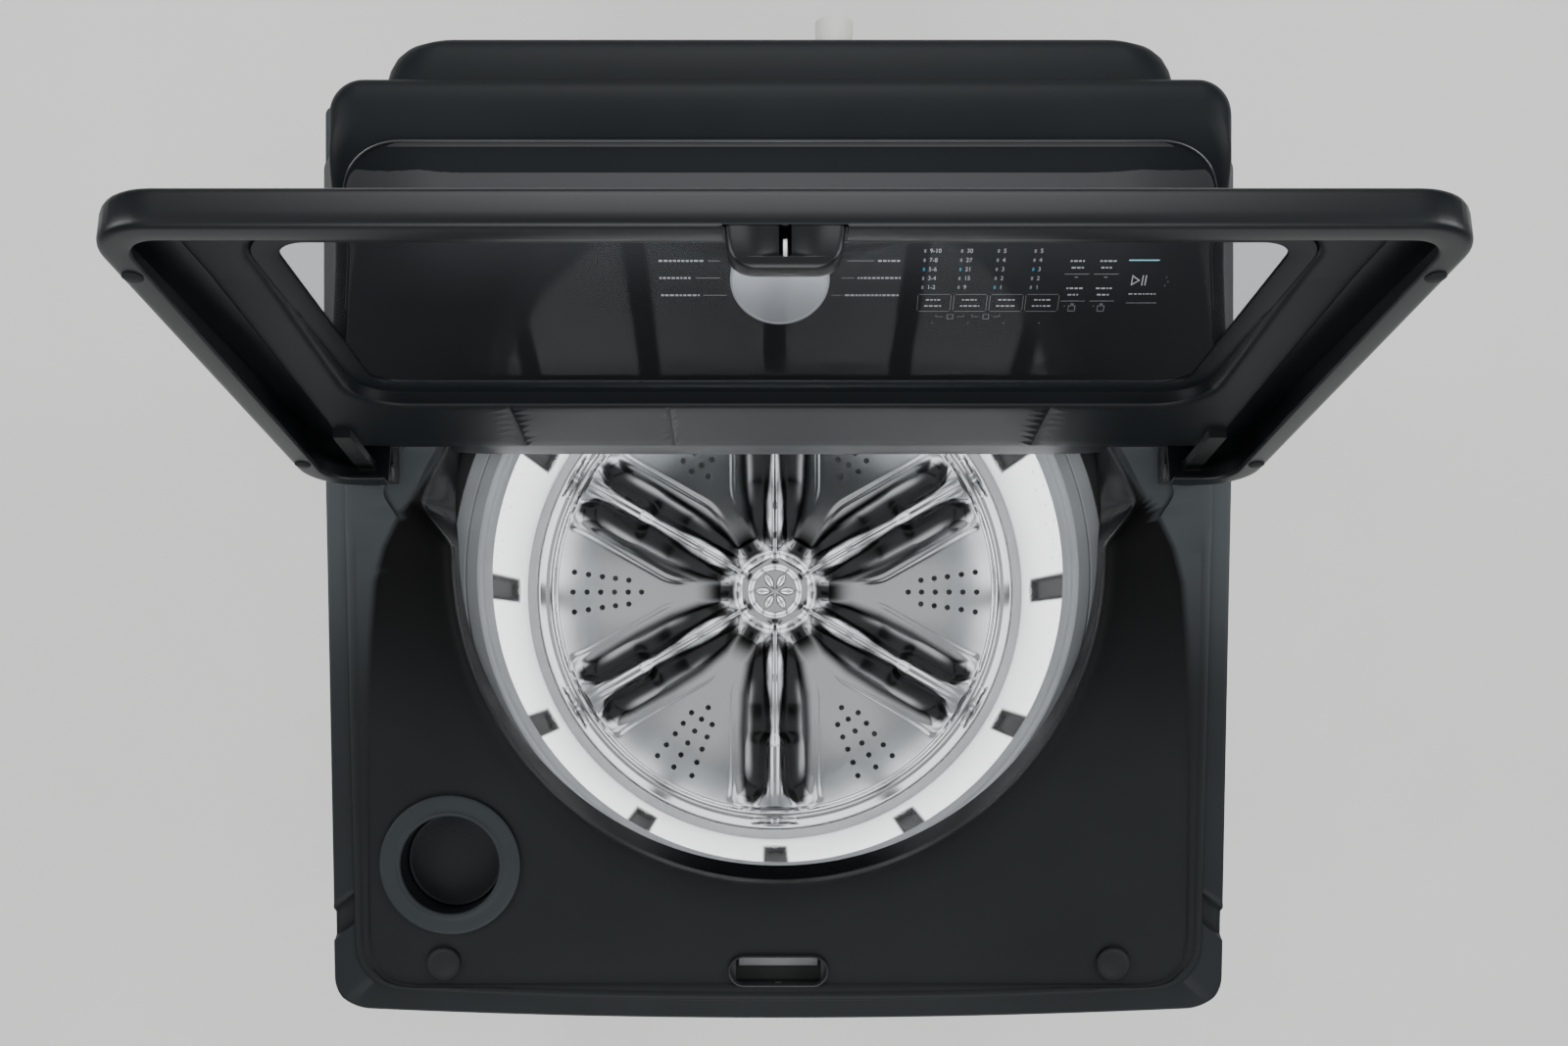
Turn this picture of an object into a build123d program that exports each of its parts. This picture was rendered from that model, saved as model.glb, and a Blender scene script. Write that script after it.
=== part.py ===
from build123d import *
import math
import os

# Top-loading washing machine, lid open. Millimetres, +Z up, +X to the right, the user at -Y.
# Origin: middle of the overall box, on the floor.

# ---- driving dimensions ----
CABINET_W = 686.0        # cabinet width
CABINET_D = 700.0        # cabinet depth, front fascia to rear panel
DECK_Z = 980.0           # deck height above the floor, at the hinge
CONSOLE_H = 150.0        # console height above the deck
INLET_OUT = 27.0         # inlet threads stand out of the rear by this much

SHEET = 1.2              # steel sheet
PLASTIC = 3.0            # moulded wall
RUN = 0.05               # running clearance on a radius
GAP = 0.4                # clearance between pieces of different bodies
DECK_SLOPE = 3.7         # degrees, falling to the front
FOOT_H = 22.0            # floor to the base frame
BASE_H = 38.0            # base frame height
COVER_DEPTH = 65.0       # top cover skirt below the deck
WRAP_LAP = 18.0          # cabinet sheet runs up inside the skirt
CORNER_R = 25.0          # cabinet front corner radius
FRONT_BOW = 12.0         # bow of the front fascia
FASCIA_RUN = 25.0        # the fascia leans back by this much
FASCIA_DROP = 16.0       # over this height

HINGE_Y_FROM_TUB = 72.0  # hinge axis behind the tub axis
HINGE_H = 17.0           # hinge axis above the deck
LID_LEN = 390.0          # hinge axis to the free edge
LID_TRAVEL = 107.0       # degrees from open to closed
LID_RIM_DROP = 14.9      # rim plane below the hinge axis, lid closed
LID_END_T = 22.0         # lid thickness at the free edge
LID_REAR_T = 40.0        # lid thickness at the hinge
LID_SIDE_GAP = 2.0       # lid narrower than the cabinet, each side
LID_CORNER_R = 35.0
RIM_W = 16.0             # flat rim band under the lid
CHANNEL_W = 15.0         # channel between rim and inner frame
LID_START = 13.0         # rim starts this far from the axis
LIP_BACK = 23.0          # rear lip of the lid behind the axis
WINDOW_NEAR = 129.0      # window from the axis
WINDOW_FAR = 345.0
WINDOW_HALF_W = 270.0
GLASS_T = 4.0
PIN_R = 4.0              # hinge pin
HINGE_X = 302.0          # hinge arm centre
ARM_W = 12.0
ARM_R = 9.0
INNER_Z = 4.0            # inner frame floor above the axis plane
INNER_START = 31.0

BASKET_R = 275.0         # basket inner radius
BASKET_T = 1.2
TUB_GAP = 23.8           # basket wall to outer tub wall
TUB_T = 4.0
RING_TOP = 60.0          # balance ring top below the deck
RING_H = 50.0
RING_W = 40.0            # balance ring, from the basket wall to its bore
WASH_DEPTH = 512.0       # wash plate below the deck
WASH_GAP = 13.0          # basket wall to the wash plate's edge
VANE_H = 26.0
SPIN_R = 16.0            # spin shaft
WASH_SHAFT_R = 8.0
BEARING_R = 31.0
BARREL_R = 44.0          # bearing housing barrel
STATOR_R = 120.0

LIP_R = 248.0            # tub opening at the deck
LIP_Y = 9.3              # its centre, behind the tub axis
THROAT_R = 251.0         # lower edge of the funnel
THROAT_Y = 22.0
THROAT_DEPTH = 47.0
OPENING_REAR = 104.0     # straight rear edge of the opening
BEAD_H = 1.2             # rim bead on the deck
CUP_X = -252.0           # bleach cup
CUP_Y = -224.0
CUP_R = 40.5
CUP_FLANGE_R = 54.0
CUP_DEPTH = 26.0
BEZEL_DEPTH = 6.0
BOLT_W = 5.0             # lid lock bolt
BOLT_H = 3.2
BOLT_L = 7.0
BUMPER_X = 258.0
BUMPER_Y = -301.0
BUMPER_R = 12.8
BUMPER_H = 1.6
SLOT_Y = -307.0          # lid lock slot
SLOT_L = 77.0
SLOT_W = 24.0
STRIKE_W = 60.0
STRIKE_T = 16.0
STRIKE_DROP = 20.0       # strike below the rim plane

PANEL_FOOT_Y = 112.0     # control panel foot and top, behind the tub axis
PANEL_TOP_Y = 272.0
PANEL_T = 4.0
PANEL_FOOT_H = 3.0       # panel foot above the deck
CONSOLE_BACK_Y = 318.0
KNOB_R = 34.0
KNOB_H = 22.0
KNOB_UP = 128.0          # knob centre along the panel from its foot
REAR_HALF_W = 270.0
INLET_X = 38.0
INLET_Z = 80.0
INLET_PITCH = 45.0
THREAD_R = 13.2          # three-quarter inch inlet thread

ROD_IN = 43.0            # suspension rods in from the cabinet sides
ROD_R = 4.0
PUMP_X = 170.0
PUMP_Y = -150.0
PUMP_Z = 112.0
PUMP_R = 42.0
HOSE_R = 12.0
HOSE_REAR = 46.0         # riser of the drain hose in from the rear
DRAIN_X = 200.0          # hose outlet in the rear panel
STUD_R = 5.0             # levelling foot stud
SPRING_L = 106.0         # suspension spring, loaded
SPRING_R = 14.0
SPRING_WIRE = 1.8
CUP_H = 14.0             # friction cup

# ---- derived places ----
FRONT_Y = -(CABINET_D + INLET_OUT) / 2
BACK_Y = FRONT_Y + CABINET_D
TUB_Y = (FRONT_Y + BACK_Y) / 2 - 2.0
HALF_W = CABINET_W / 2
SLOPE = math.tan(math.radians(DECK_SLOPE))
HINGE_Y = TUB_Y + HINGE_Y_FROM_TUB
HINGE_Z = DECK_Z + HINGE_H
COVER_Z = DECK_Z - COVER_DEPTH
LID_HALF_W = HALF_W - LID_SIDE_GAP
BEAD_X = HALF_W - 18.0
LID_TURN = -(LID_TRAVEL - DECK_SLOPE)
RING_TOP_Z = DECK_Z - RING_TOP
PLATE_Z = DECK_Z - WASH_DEPTH
FLOOR_Z = PLATE_Z - 20.0             # basket floor
TUB_FLOOR_Z = FLOOR_Z - 24.0         # outer tub floor, inside
TUB_R = BASKET_R + BASKET_T + TUB_GAP
RING_R = BASKET_R - RING_W
WASH_R = BASKET_R - WASH_GAP
HOUSING_TOP_Z = TUB_FLOOR_Z - 6.0
BARREL_LOW = HOUSING_TOP_Z - 42.0
SHAFT_LOW = HOUSING_TOP_Z - 55.0
ROTOR_Z = HOUSING_TOP_Z - 56.5       # top of the rotor plate
ROD_X = HALF_W - ROD_IN
ROD_Y = CABINET_D / 2 - 55.0
EAR_Z = FLOOR_Z + 40.0
SPRING_LOW = EAR_Z - CUP_H - SPRING_L
PANEL_RISE = CONSOLE_H - 2 * PANEL_FOOT_H
DRAIN_Z = COVER_Z - 20.0
FOOT_X = HALF_W - 45.0
FOOT_Y = CABINET_D / 2 - 62.0
PANEL_TILT = math.degrees(math.atan2(PANEL_RISE, PANEL_TOP_Y - PANEL_FOOT_Y))


def deck_at(y):
    """Deck height at a distance y from the tub axis."""
    return DECK_Z - max(0.0, HINGE_Y_FROM_TUB - y) * SLOPE


def block(x0, x1, y0, y1, z0, z1):
    return Pos((x0 + x1) / 2, (y0 + y1) / 2, (z0 + z1) / 2) * Box(x1 - x0, y1 - y0, z1 - z0)


def post(radius, z0, z1, x=0.0, y=0.0):
    return Pos(x, y, (z0 + z1) / 2) * Cylinder(radius, z1 - z0)


def ring(outer, inner, z0, z1, x=0.0, y=0.0):
    return post(outer, z0, z1, x, y) - post(inner, z0 - 1, z1 + 1, x, y)


def bar_x(radius, x0, x1, y, z):
    return Pos((x0 + x1) / 2, y, z) * Rot(0, 90, 0) * Cylinder(radius, x1 - x0)


def bar_y(radius, y0, y1, x, z):
    return Pos(x, (y0 + y1) / 2, z) * Rot(90, 0, 0) * Cylinder(radius, y1 - y0)


def turned(points):
    """Solid of revolution about the tub axis, from (radius, z) points."""
    return Pos(0, TUB_Y, 0) * revolve(Plane.XZ * make_face(Polyline(*points, close=True)), Axis.Z)


def side_prism(points, half_width):
    """Prism across the machine, from (y, z) points."""
    return extrude(Plane.YZ * make_face(Polyline(*points, close=True)), half_width, both=True)


def group(solids):
    return Compound(children=list(solids))


def corners(x, y):
    return [(sx * x, sy * y) for sx in (-1, 1) for sy in (-1, 1)]


# ---- cabinet ----
def plan_face(inset):
    """Plan outline of the cabinet, bowed at the front, set in by inset."""
    x = HALF_W - inset
    back = BACK_Y - inset
    front = FRONT_Y + inset
    side = front + FRONT_BOW + CORNER_R
    turn_x = x - CORNER_R - 10.0
    turn_y = front + FRONT_BOW
    knee = CORNER_R * 0.32
    outline = [
        Line((-x, back), (-x, side)),
        ThreePointArc((-x, side), (-x + knee, turn_y + knee * 0.8), (-turn_x, turn_y)),
        ThreePointArc((-turn_x, turn_y), (0, front), (turn_x, turn_y)),
        ThreePointArc((turn_x, turn_y), (x - knee, turn_y + knee * 0.8), (x, side)),
        Line((x, side), (x, back)),
        Line((x, back), (-x, back)),
    ]
    return make_face(Curve() + outline)


def plan_solid(inset, z0, z1):
    return Pos(0, 0, z0) * extrude(plan_face(inset), z1 - z0)


def cabinet_wrap():
    """Front and side sheet, bent from one piece, tucked inside the cover's skirt."""
    inset = PLASTIC + 1.0
    low = FOOT_H + BASE_H
    high = COVER_Z + WRAP_LAP
    shell = plan_solid(inset, low, high) - plan_solid(inset + SHEET, low - 1, high + 1)
    open_back = block(-HALF_W, HALF_W, BACK_Y - inset - SHEET, BACK_Y + 1, low - 1, high + 1)
    wrap = shell - open_back
    edge = deck_at(FRONT_Y + FASCIA_RUN - TUB_Y) - FASCIA_DROP - PLASTIC - GAP
    wrap -= block(-HALF_W, HALF_W, FRONT_Y, FRONT_Y + 2 * CORNER_R, edge, DECK_Z)
    for side in (-1, 1):
        x0, x1 = sorted((side * (HALF_W - inset - SHEET), side * (HALF_W - inset - 22)))
        wrap += block(x0, x1, BACK_Y - inset - 2 * SHEET, BACK_Y - inset - SHEET, low, high)
    return group([wrap] + [corner_brace(x, y) for x, y in corners(ROD_X, ROD_Y)])


def rear_panel():
    """Rear sheet with a pressed rib field, the hose outlet and the cord gland hole."""
    inset = PLASTIC + 1.0
    x = HALF_W - inset
    y1 = BACK_Y - inset
    panel = block(-x, x, y1 - SHEET, y1, FOOT_H + BASE_H, COVER_Z + WRAP_LAP)
    for k in range(5):
        z = 200 + k * (DECK_Z - 400) / 4
        panel += block(-x + 60, x - 240, y1, y1 + 2.5, z, z + 18)
    panel -= bar_y(HOSE_R + 4, y1 - 20, y1 + 20, DRAIN_X, DRAIN_Z)
    return panel


def base_frame():
    """Pressed base ring with a pad in each corner for a foot and a shelf for the pump."""
    z0, z1 = FOOT_H, FOOT_H + BASE_H
    inset = PLASTIC + 1.0
    frame = plan_solid(inset, z0, z1) - plan_solid(inset + 2.0, z0 + 2.0, z1 + 1)
    opening = block(-HALF_W + 80, HALF_W - 80, FRONT_Y + 85, BACK_Y - 75, z0 - 1, z1 + 1)
    frame -= opening
    frame += block(PUMP_X - 60, HALF_W - 70, TUB_Y + PUMP_Y - 45, TUB_Y + PUMP_Y + 45, z0, z0 + 2.0)
    for x, y in corners(FOOT_X, FOOT_Y):
        frame += ring(16, STUD_R, z0, z0 + 6, x, y)
        frame -= post(STUD_R + 0.3, z0 - 1, z0 + 8, x, y)
    return frame


def levelling_feet():
    """Rubber-soled feet on threaded studs."""
    feet = []
    for x, y in corners(FOOT_X, FOOT_Y):
        foot = post(20, 0, 9, x, y) + post(14, 9, 14, x, y) + post(STUD_R, 14, FOOT_H + 26, x, y)
        feet.append(foot)
    return group(feet)


def foot_locknuts():
    nuts = []
    for x, y in corners(FOOT_X, FOOT_Y):
        nut = extrude(Pos(x, y, FOOT_H - 6) * RegularPolygon(9.5, 6), 6)
        nuts.append(nut - post(STUD_R, FOOT_H - 7, FOOT_H + 1, x, y))
    return group(nuts)


def corner_brace(x, y):
    """Steel gusset welded in an upper corner; it carries a suspension rod."""
    z = COVER_Z + 2.0
    sx = math.copysign(1, x)
    x0, x1 = sorted((x - sx * 26, sx * HALF_W))
    plate = block(x0, x1, TUB_Y + y - 26, TUB_Y + y + 26, z, z + 2.5)
    plate = plate & plan_solid(PLASTIC + 1.0 + SHEET, z, z + 2.5)
    return plate - post(ROD_R + 1.5, z - 1, z + 4, x, TUB_Y + y)


# ---- top cover ----
def cover_profile(drop):
    """Side profile of the deck, lowered by drop."""
    y0 = FRONT_Y + drop
    lip = y0 + FASCIA_RUN
    return [
        (y0, COVER_Z - (1.0 if drop else 0.0)),
        (y0, deck_at(lip - TUB_Y) - FASCIA_DROP - drop),
        (lip, deck_at(lip - TUB_Y) - drop),
        (HINGE_Y, DECK_Z - drop),
        (BACK_Y - drop, DECK_Z - drop),
        (BACK_Y - drop, COVER_Z - (1.0 if drop else 0.0)),
    ]


def opening_face(radius, centre, flare, rear_x, grow, z):
    """D-shaped outline of the tub opening at one level."""
    r = radius + grow
    side_y = 21.0
    half = math.sqrt(r * r - (side_y - centre) ** 2)
    back = OPENING_REAR + grow
    outline = [
        ThreePointArc((-half, side_y), (0, centre - r), (half, side_y)),
        Polyline((half, side_y), (half + flare, side_y + 32), (half + flare * 0.6, side_y + 54),
                 (rear_x + grow, back), (-rear_x - grow, back), (-half - flare * 0.6, side_y + 54),
                 (-half - flare, side_y + 32), (-half, side_y)),
    ]
    return Pos(0, TUB_Y, z) * make_face(Curve() + outline)


def funnel(grow, over):
    """Funnel from the deck lip down to the throat; over lengthens it past both ends."""
    top_z = DECK_Z + 4.0 + over
    low_z = DECK_Z - THROAT_DEPTH - over
    top = opening_face(LIP_R, LIP_Y, 24.0, 246.0, grow, top_z)
    low = opening_face(THROAT_R, THROAT_Y, 3.0, 246.0, grow, low_z)
    return loft([low, top], ruled=True)


def top_cover():
    """Sloping deck with its skirt, tub funnel, rim bead and seats."""
    outer = plan_solid(0, COVER_Z - 1, DECK_Z + 1) & side_prism(cover_profile(0.0), HALF_W + 1)
    inner = plan_solid(PLASTIC, COVER_Z - 2, DECK_Z + 1) & side_prism(cover_profile(PLASTIC), HALF_W + 1)
    cover = outer - inner
    skirt = funnel(PLASTIC, 0.0) & side_prism(
        [(FRONT_Y, DECK_Z - THROAT_DEPTH), *[(y, z - 0.5) for y, z in cover_profile(0.0)[2:5]],
         (BACK_Y, DECK_Z - THROAT_DEPTH)], HALF_W)
    cover += skirt
    cover -= funnel(0.0, 6.0)
    cover += rim_bead()
    cover -= post(CUP_R + GAP, COVER_Z, DECK_Z + 5, CUP_X, TUB_Y + CUP_Y)
    cover -= slot_solid(SLOT_L, SLOT_W, COVER_Z + 5, DECK_Z)
    for x in (-BUMPER_X, BUMPER_X):
        cover -= post(5.0, COVER_Z, DECK_Z + 5, x, TUB_Y + BUMPER_Y)
    cover -= block(-130, 130, TUB_Y + 150, TUB_Y + 300, DECK_Z - 5, DECK_Z + 1)
    return cover


def slot_solid(length, width, z0, z1):
    return Pos(0, TUB_Y + SLOT_Y, z0) * extrude(SlotOverall(length, width), z1 - z0)


def rim_bead():
    """Low bead on the deck's edge, just inside the lid's rim."""
    y0 = FRONT_Y + FASCIA_RUN + 30
    y1 = HINGE_Y - 30
    z0 = deck_at(y0 - TUB_Y) - 0.2
    z1 = deck_at(y1 - TUB_Y) - 0.2
    rail = side_prism([(y0, z0), (y1, z1), (y1, z1 + BEAD_H), (y0, z0 + BEAD_H)], 2.0)
    return Pos(-BEAD_X, 0, 0) * rail + Pos(BEAD_X, 0, 0) * rail


def bleach_cup():
    """Round cup with a wide flange and a spout slot toward the tub."""
    x, y = CUP_X, TUB_Y + CUP_Y
    top = deck_at(CUP_Y)
    tilt = Pos(x, y, top) * Rot(DECK_SLOPE, 0, 0)
    flange = tilt * (Pos(0, 0, 1.6) * Cylinder(CUP_FLANGE_R, 2.4))
    wall = post(CUP_R - 0.2, top - CUP_DEPTH, top + 0.5, x, y)
    bore = post(CUP_R - 3.0, top - CUP_DEPTH + 2.5, top + 20, x, y)
    cup = flange + wall - bore
    spout = Pos(x, y, top - 16) * Rot(0, 0, 42) * Pos(CUP_R - 4, 0, 0) * Box(12, 20, 8)
    return cup - spout


def deck_bumpers():
    pads = []
    for x in (-BUMPER_X, BUMPER_X):
        z = deck_at(BUMPER_Y)
        pad = Pos(x, TUB_Y + BUMPER_Y, z) * Rot(DECK_SLOPE, 0, 0) * post(BUMPER_R, 0, BUMPER_H)
        pads.append(pad + post(4.8, z - 9, z + 0.2, x, TUB_Y + BUMPER_Y))
    return group(pads)


def lock_bezel():
    """Rounded frame that lines the strike slot in the deck."""
    z = deck_at(SLOT_Y)
    frame = slot_solid(SLOT_L - 0.4, SLOT_W - 0.4, z - BEZEL_DEPTH, z + 0.9)
    return frame - slot_solid(SLOT_L - 3, SLOT_W - 2.4, z - BEZEL_DEPTH - 1, z + 2)


def lock_unit():
    """Lid lock body under the slot, with the strike pocket and the bolt way."""
    top = deck_at(SLOT_Y) - BEZEL_DEPTH
    y = TUB_Y + SLOT_Y
    low = top - 16.5
    body = block(-55, 55, y - 16, y + 23, low, top) + block(-55, 55, y - 18.5, y - 16, low, top - 1.8)
    body += block(-55, 55, y - 31, y - 4, low - 35, top - 11.5)
    body -= block(-STRIKE_W / 2 - 3, STRIKE_W / 2 + 3, bolt_tip(), y + 12.5, low + 2.5, top + 1)
    body -= block(-BOLT_W / 2 - GAP, BOLT_W / 2 + GAP, y - 19, bolt_tip() + 1, bolt_low() - 0.3, top + 1)
    return body


def bolt_low():
    return deck_at(SLOT_Y) - 10.6


def bolt_tip():
    return TUB_Y + SLOT_Y - 10.5


def lock_bolt():
    """Steel bolt, drawn back; it moves to the rear into the strike's slot."""
    return block(-BOLT_W / 2, BOLT_W / 2, bolt_tip() - BOLT_L, bolt_tip(), bolt_low(), bolt_low() + BOLT_H)


# ---- lid ----
def placed_lid(shape):
    """From the closed, level lid frame (axis at the origin, lid toward -Y) to the open lid."""
    return Pos(0, HINGE_Y, HINGE_Z) * Rot(LID_TURN, 0, 0) * shape


def lid_plan(inset, z0, z1, start=LID_START):
    width = 2 * (LID_HALF_W - inset)
    length = LID_LEN - start - 2 * inset
    radius = max(LID_CORNER_R - inset, 6.0)
    face = Pos(0, -(LID_LEN + start) / 2) * RectangleRounded(width, length, radius)
    return Pos(0, 0, z0) * extrude(face, z1 - z0)


def skin_z(u, drop=0.0):
    """Height of the lid's outer skin at a distance u from the axis."""
    rear = LID_REAR_T - LID_RIM_DROP
    end = LID_END_T - LID_RIM_DROP
    return rear + (end - rear) * u / LID_LEN - drop


def under_skin(drop, start=-40.0, z0=-30.0):
    """Everything between z0 and the skin, lowered by drop."""
    far = LID_LEN + 10
    return side_prism([(-start, z0), (-start, skin_z(start, drop)), (-far, skin_z(far, drop)), (-far, z0)],
                      HALF_W + 10)


def window_solid(grow, z0, z1):
    width = 2 * (WINDOW_HALF_W + grow)
    length = WINDOW_FAR - WINDOW_NEAR + 2 * grow
    face = Pos(0, -(WINDOW_FAR + WINDOW_NEAR) / 2) * RectangleRounded(width, length, 24 + grow)
    return Pos(0, 0, z0) * extrude(face, z1 - z0)


def lid_frame():
    """Outer lid: sloping skin, turned-in rim and the rear lip."""
    low = -LID_RIM_DROP
    body = lid_plan(0, low, 40) & under_skin(0.0)
    body -= lid_plan(PLASTIC, low + 2.5, 40) & under_skin(PLASTIC)
    body -= lid_plan(RIM_W, low - 1, low + 3)
    half = 246.0
    joined = LID_START + 20
    lip = side_prism([(-joined, skin_z(joined, PLASTIC)), (-joined, skin_z(joined)),
                      (LIP_BACK, skin_z(-LIP_BACK)), (LIP_BACK, skin_z(-LIP_BACK, PLASTIC))], half)
    rear = -LID_START + 1
    body -= block(-half - 1, half + 1, rear - PLASTIC - 2, rear, low - 1, skin_z(0, PLASTIC + 0.5))
    body -= block(-half - 1, half + 1, rear - RIM_W - 2, rear, low - 1, low + 3)
    body += lip
    body -= window_solid(0.0, -40, 40)
    strike = -strike_u()
    half_t = STRIKE_T / 2
    body -= block(-STRIKE_W / 2, STRIKE_W / 2, strike - half_t, strike + half_t, low - 1, low + 4)
    arm = ARM_W / 2 + 1
    for x in (-HINGE_X, HINGE_X):
        body -= block(x - arm, x + arm, -LID_START - PLASTIC - 1, -LID_START + 1, -3.5, INNER_Z + 1)
    return placed_lid(body)


def lid_glass():
    """Flat tinted pane, set flush in the skin."""
    pane = window_solid(-0.3, -40, 40) & (under_skin(0.0) - under_skin(GLASS_T))
    return placed_lid(pane)


def lid_inner_frame():
    """Inner frame: floor band, outer wall and window lip under the skin."""
    base = INNER_Z
    start = INNER_START
    inset = RIM_W + CHANNEL_W
    outer = lid_plan(inset, base, 40, start - inset) & under_skin(PLASTIC)
    hollow = lid_plan(inset + 2.2, base + 2.2, 40, start - inset)
    hollow -= window_solid(12.0, -40, 40)
    frame = outer - hollow - window_solid(9.0, -40, 40)
    pane_seat = window_solid(9.0, -40, 40) - window_solid(-6.0, -41, 41)
    pane_seat = pane_seat & (under_skin(GLASS_T) - under_skin(GLASS_T + 2.2))
    return placed_lid(frame + pane_seat)


def strike_u():
    """Middle of the strike from the hinge axis."""
    return HINGE_Y_FROM_TUB - SLOT_Y + 1.5


def lid_strike():
    """Strike tongue at the free edge, with a slot for the lock bolt."""
    u = strike_u()
    low = -LID_RIM_DROP - STRIKE_DROP
    high = skin_z(u, PLASTIC)
    tongue = block(-STRIKE_W / 2, STRIKE_W / 2, -u - STRIKE_T / 2, -u + STRIKE_T / 2, low, high)
    tongue = fillet(tongue.edges().filter_by(Axis.Y).group_by(Axis.Z)[0], 9.0)
    tongue = tongue & lid_plan(PLASTIC, low - 5, 40) & under_skin(PLASTIC, z0=low - 5)
    face = -u - STRIKE_T / 2
    way = block(-BOLT_W / 2 - 0.9, BOLT_W / 2 + 0.9, face - 1, face + 9, low + 6, low + 24)
    return placed_lid(tongue - way)


def lid_bumpers():
    pads = []
    for x in (-LID_HALF_W + 8, LID_HALF_W - 8):
        for u in (LID_START + 48, LID_LEN - 52):
            pads.append(placed_lid(post(5.5, -LID_RIM_DROP - 1.4, -LID_RIM_DROP, x, -u)))
    return group(pads)


def lid_hinge_arms():
    """Arms on the lid that turn on the hinge pins."""
    arms = []
    for side in (-1, 1):
        x = side * HINGE_X
        x0, x1 = x - ARM_W / 2, x + ARM_W / 2
        eye = bar_x(ARM_R, x0, x1, 0, 0)
        web = block(x0, x1, -78, 0, -2, INNER_Z)
        pad = block(x0, x1, -78, -INNER_START, INNER_Z - 4, INNER_Z)
        arms.append(placed_lid((eye + web + pad) - bar_x(PIN_R + RUN, x0 - 1, x1 + 1, 0, 0)))
    return group(arms)


def hinge_pins():
    centres = (-HINGE_X, HINGE_X)
    return group(bar_x(PIN_R, x - 16, x + 16, HINGE_Y, HINGE_Z) for x in centres)


def hinge_brackets():
    """Two-eared brackets on the deck that hold the pins."""
    brackets = []
    for side in (-1, 1):
        x = side * HINGE_X
        bracket = block(x - 16, x + 16, HINGE_Y + 2, HINGE_Y + 26, DECK_Z, DECK_Z + 3)
        for ear in (x - 16, x + 10):
            bracket += block(ear, ear + 6, HINGE_Y - 6, HINGE_Y + 20, DECK_Z + 0.6, HINGE_Z)
            bracket += bar_x(7, ear, ear + 6, HINGE_Y, HINGE_Z)
        bracket -= bar_x(PIN_R, x - 17, x + 17, HINGE_Y, HINGE_Z)
        brackets.append(bracket)
    return group(brackets)


# ---- console ----
def console_front(inset):
    """Front-view outline of the console: sides draw in toward the top."""
    pts = [(0.0, 0.0), (22.0, 50.0), (38.0, 95.0), (48.0, CONSOLE_H + 1)]
    right = [(HALF_W - dx - inset, DECK_Z + dz) for dx, dz in pts]
    left = [(-x, z) for x, z in reversed(right)]
    face = Plane.XZ * make_face(Polyline(*right, *left, close=True))
    return extrude(face, CABINET_D, both=True)


def console_side(drop):
    """Side profile of the console, set in by drop."""
    slope = math.radians(PANEL_TILT)
    foot = TUB_Y + PANEL_FOOT_Y + drop / math.sin(slope)
    top = DECK_Z + CONSOLE_H - drop
    run = (top - DECK_Z - PANEL_FOOT_H) / math.tan(slope)
    back = TUB_Y + CONSOLE_BACK_Y - drop
    return side_prism([(foot, DECK_Z), (foot, DECK_Z + PANEL_FOOT_H), (foot + run, top), (back - 14, top),
                       (back, top - 14), (back, DECK_Z)], HALF_W + 5)


def panel_frame():
    """Location of the panel's outer face: X across, Y up the slope, Z outward, origin at its foot."""
    return Pos(0, TUB_Y + PANEL_FOOT_Y, DECK_Z + PANEL_FOOT_H) * Rot(PANEL_TILT, 0, 0)


def panel_length():
    return (CONSOLE_H - PANEL_FOOT_H) / math.sin(math.radians(PANEL_TILT))


def console_housing():
    """Console shell, open below and over the panel recess."""
    shell = console_side(0.0) & console_front(0.0)
    shell -= (console_side(PLASTIC) & console_front(PLASTIC)) + Pos(0, 0, -1) * (
        console_side(PLASTIC) & console_front(PLASTIC))
    shell -= panel_recess(0.0, -20.0)
    half = REAR_HALF_W - 20
    y = TUB_Y + CONSOLE_BACK_Y
    shell -= block(-half, half, y - 10, y + 10, DECK_Z - 1, DECK_Z + CONSOLE_H - 40)
    return shell


def panel_recess(clear, low):
    """Tapered plate space for the control panel."""
    length = panel_length()
    slab = panel_frame() * block(-HALF_W, HALF_W, 4 + clear, length - 4 - clear, low, 1.0)
    return slab & console_front(9.0 + clear)


def control_panel():
    """Glossy sloping panel with the knob hole."""
    length = panel_length()
    slab = panel_frame() * block(-HALF_W, HALF_W, 4.3, length - 4.3, -PANEL_T, 0.0)
    slab = slab & console_front(9.3)
    hole = panel_frame() * post(9.0, -30, 10, 0, KNOB_UP)
    return slab - hole


def console_trim():
    """Thin bright line set along the panel's upper edge."""
    length = panel_length()
    return panel_frame() * block(-HALF_W + 60, HALF_W - 60, length - 3.6, length - 1.6, 0.0, 0.8)


def program_knob():
    """Turned knob with its stem."""
    stem = post(7.0, -10, 1.0, 0, KNOB_UP)
    cap = post(KNOB_R, 0.8, KNOB_H, 0, KNOB_UP)
    cap = chamfer(cap.faces().sort_by(Axis.Z)[-1].edges(), 1.5)
    mark = block(-1, 1, KNOB_UP + KNOB_R - 14, KNOB_UP + KNOB_R - 5, KNOB_H - 0.6, KNOB_H + 1)
    return panel_frame() * (stem + cap - mark)


def knob_encoder():
    """Rotary switch behind the panel."""
    body = block(-16, 16, KNOB_UP - 16, KNOB_UP + 16, -24, -PANEL_T)
    return panel_frame() * (body - post(7.0 + 0.3, -11, 0, 0, KNOB_UP))


def control_board():
    """Main circuit board with its display and transformer, behind the panel."""
    board = block(-60, 240, 34, 96, -26, -24)
    board += block(150, 200, 50, 90, -24, -16)
    board += block(20, 60, 60, 90, -44, -26)
    for x in (-50, 230):
        board += post(4, -24, -PANEL_T, x, 42)
    return panel_frame() * board


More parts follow.
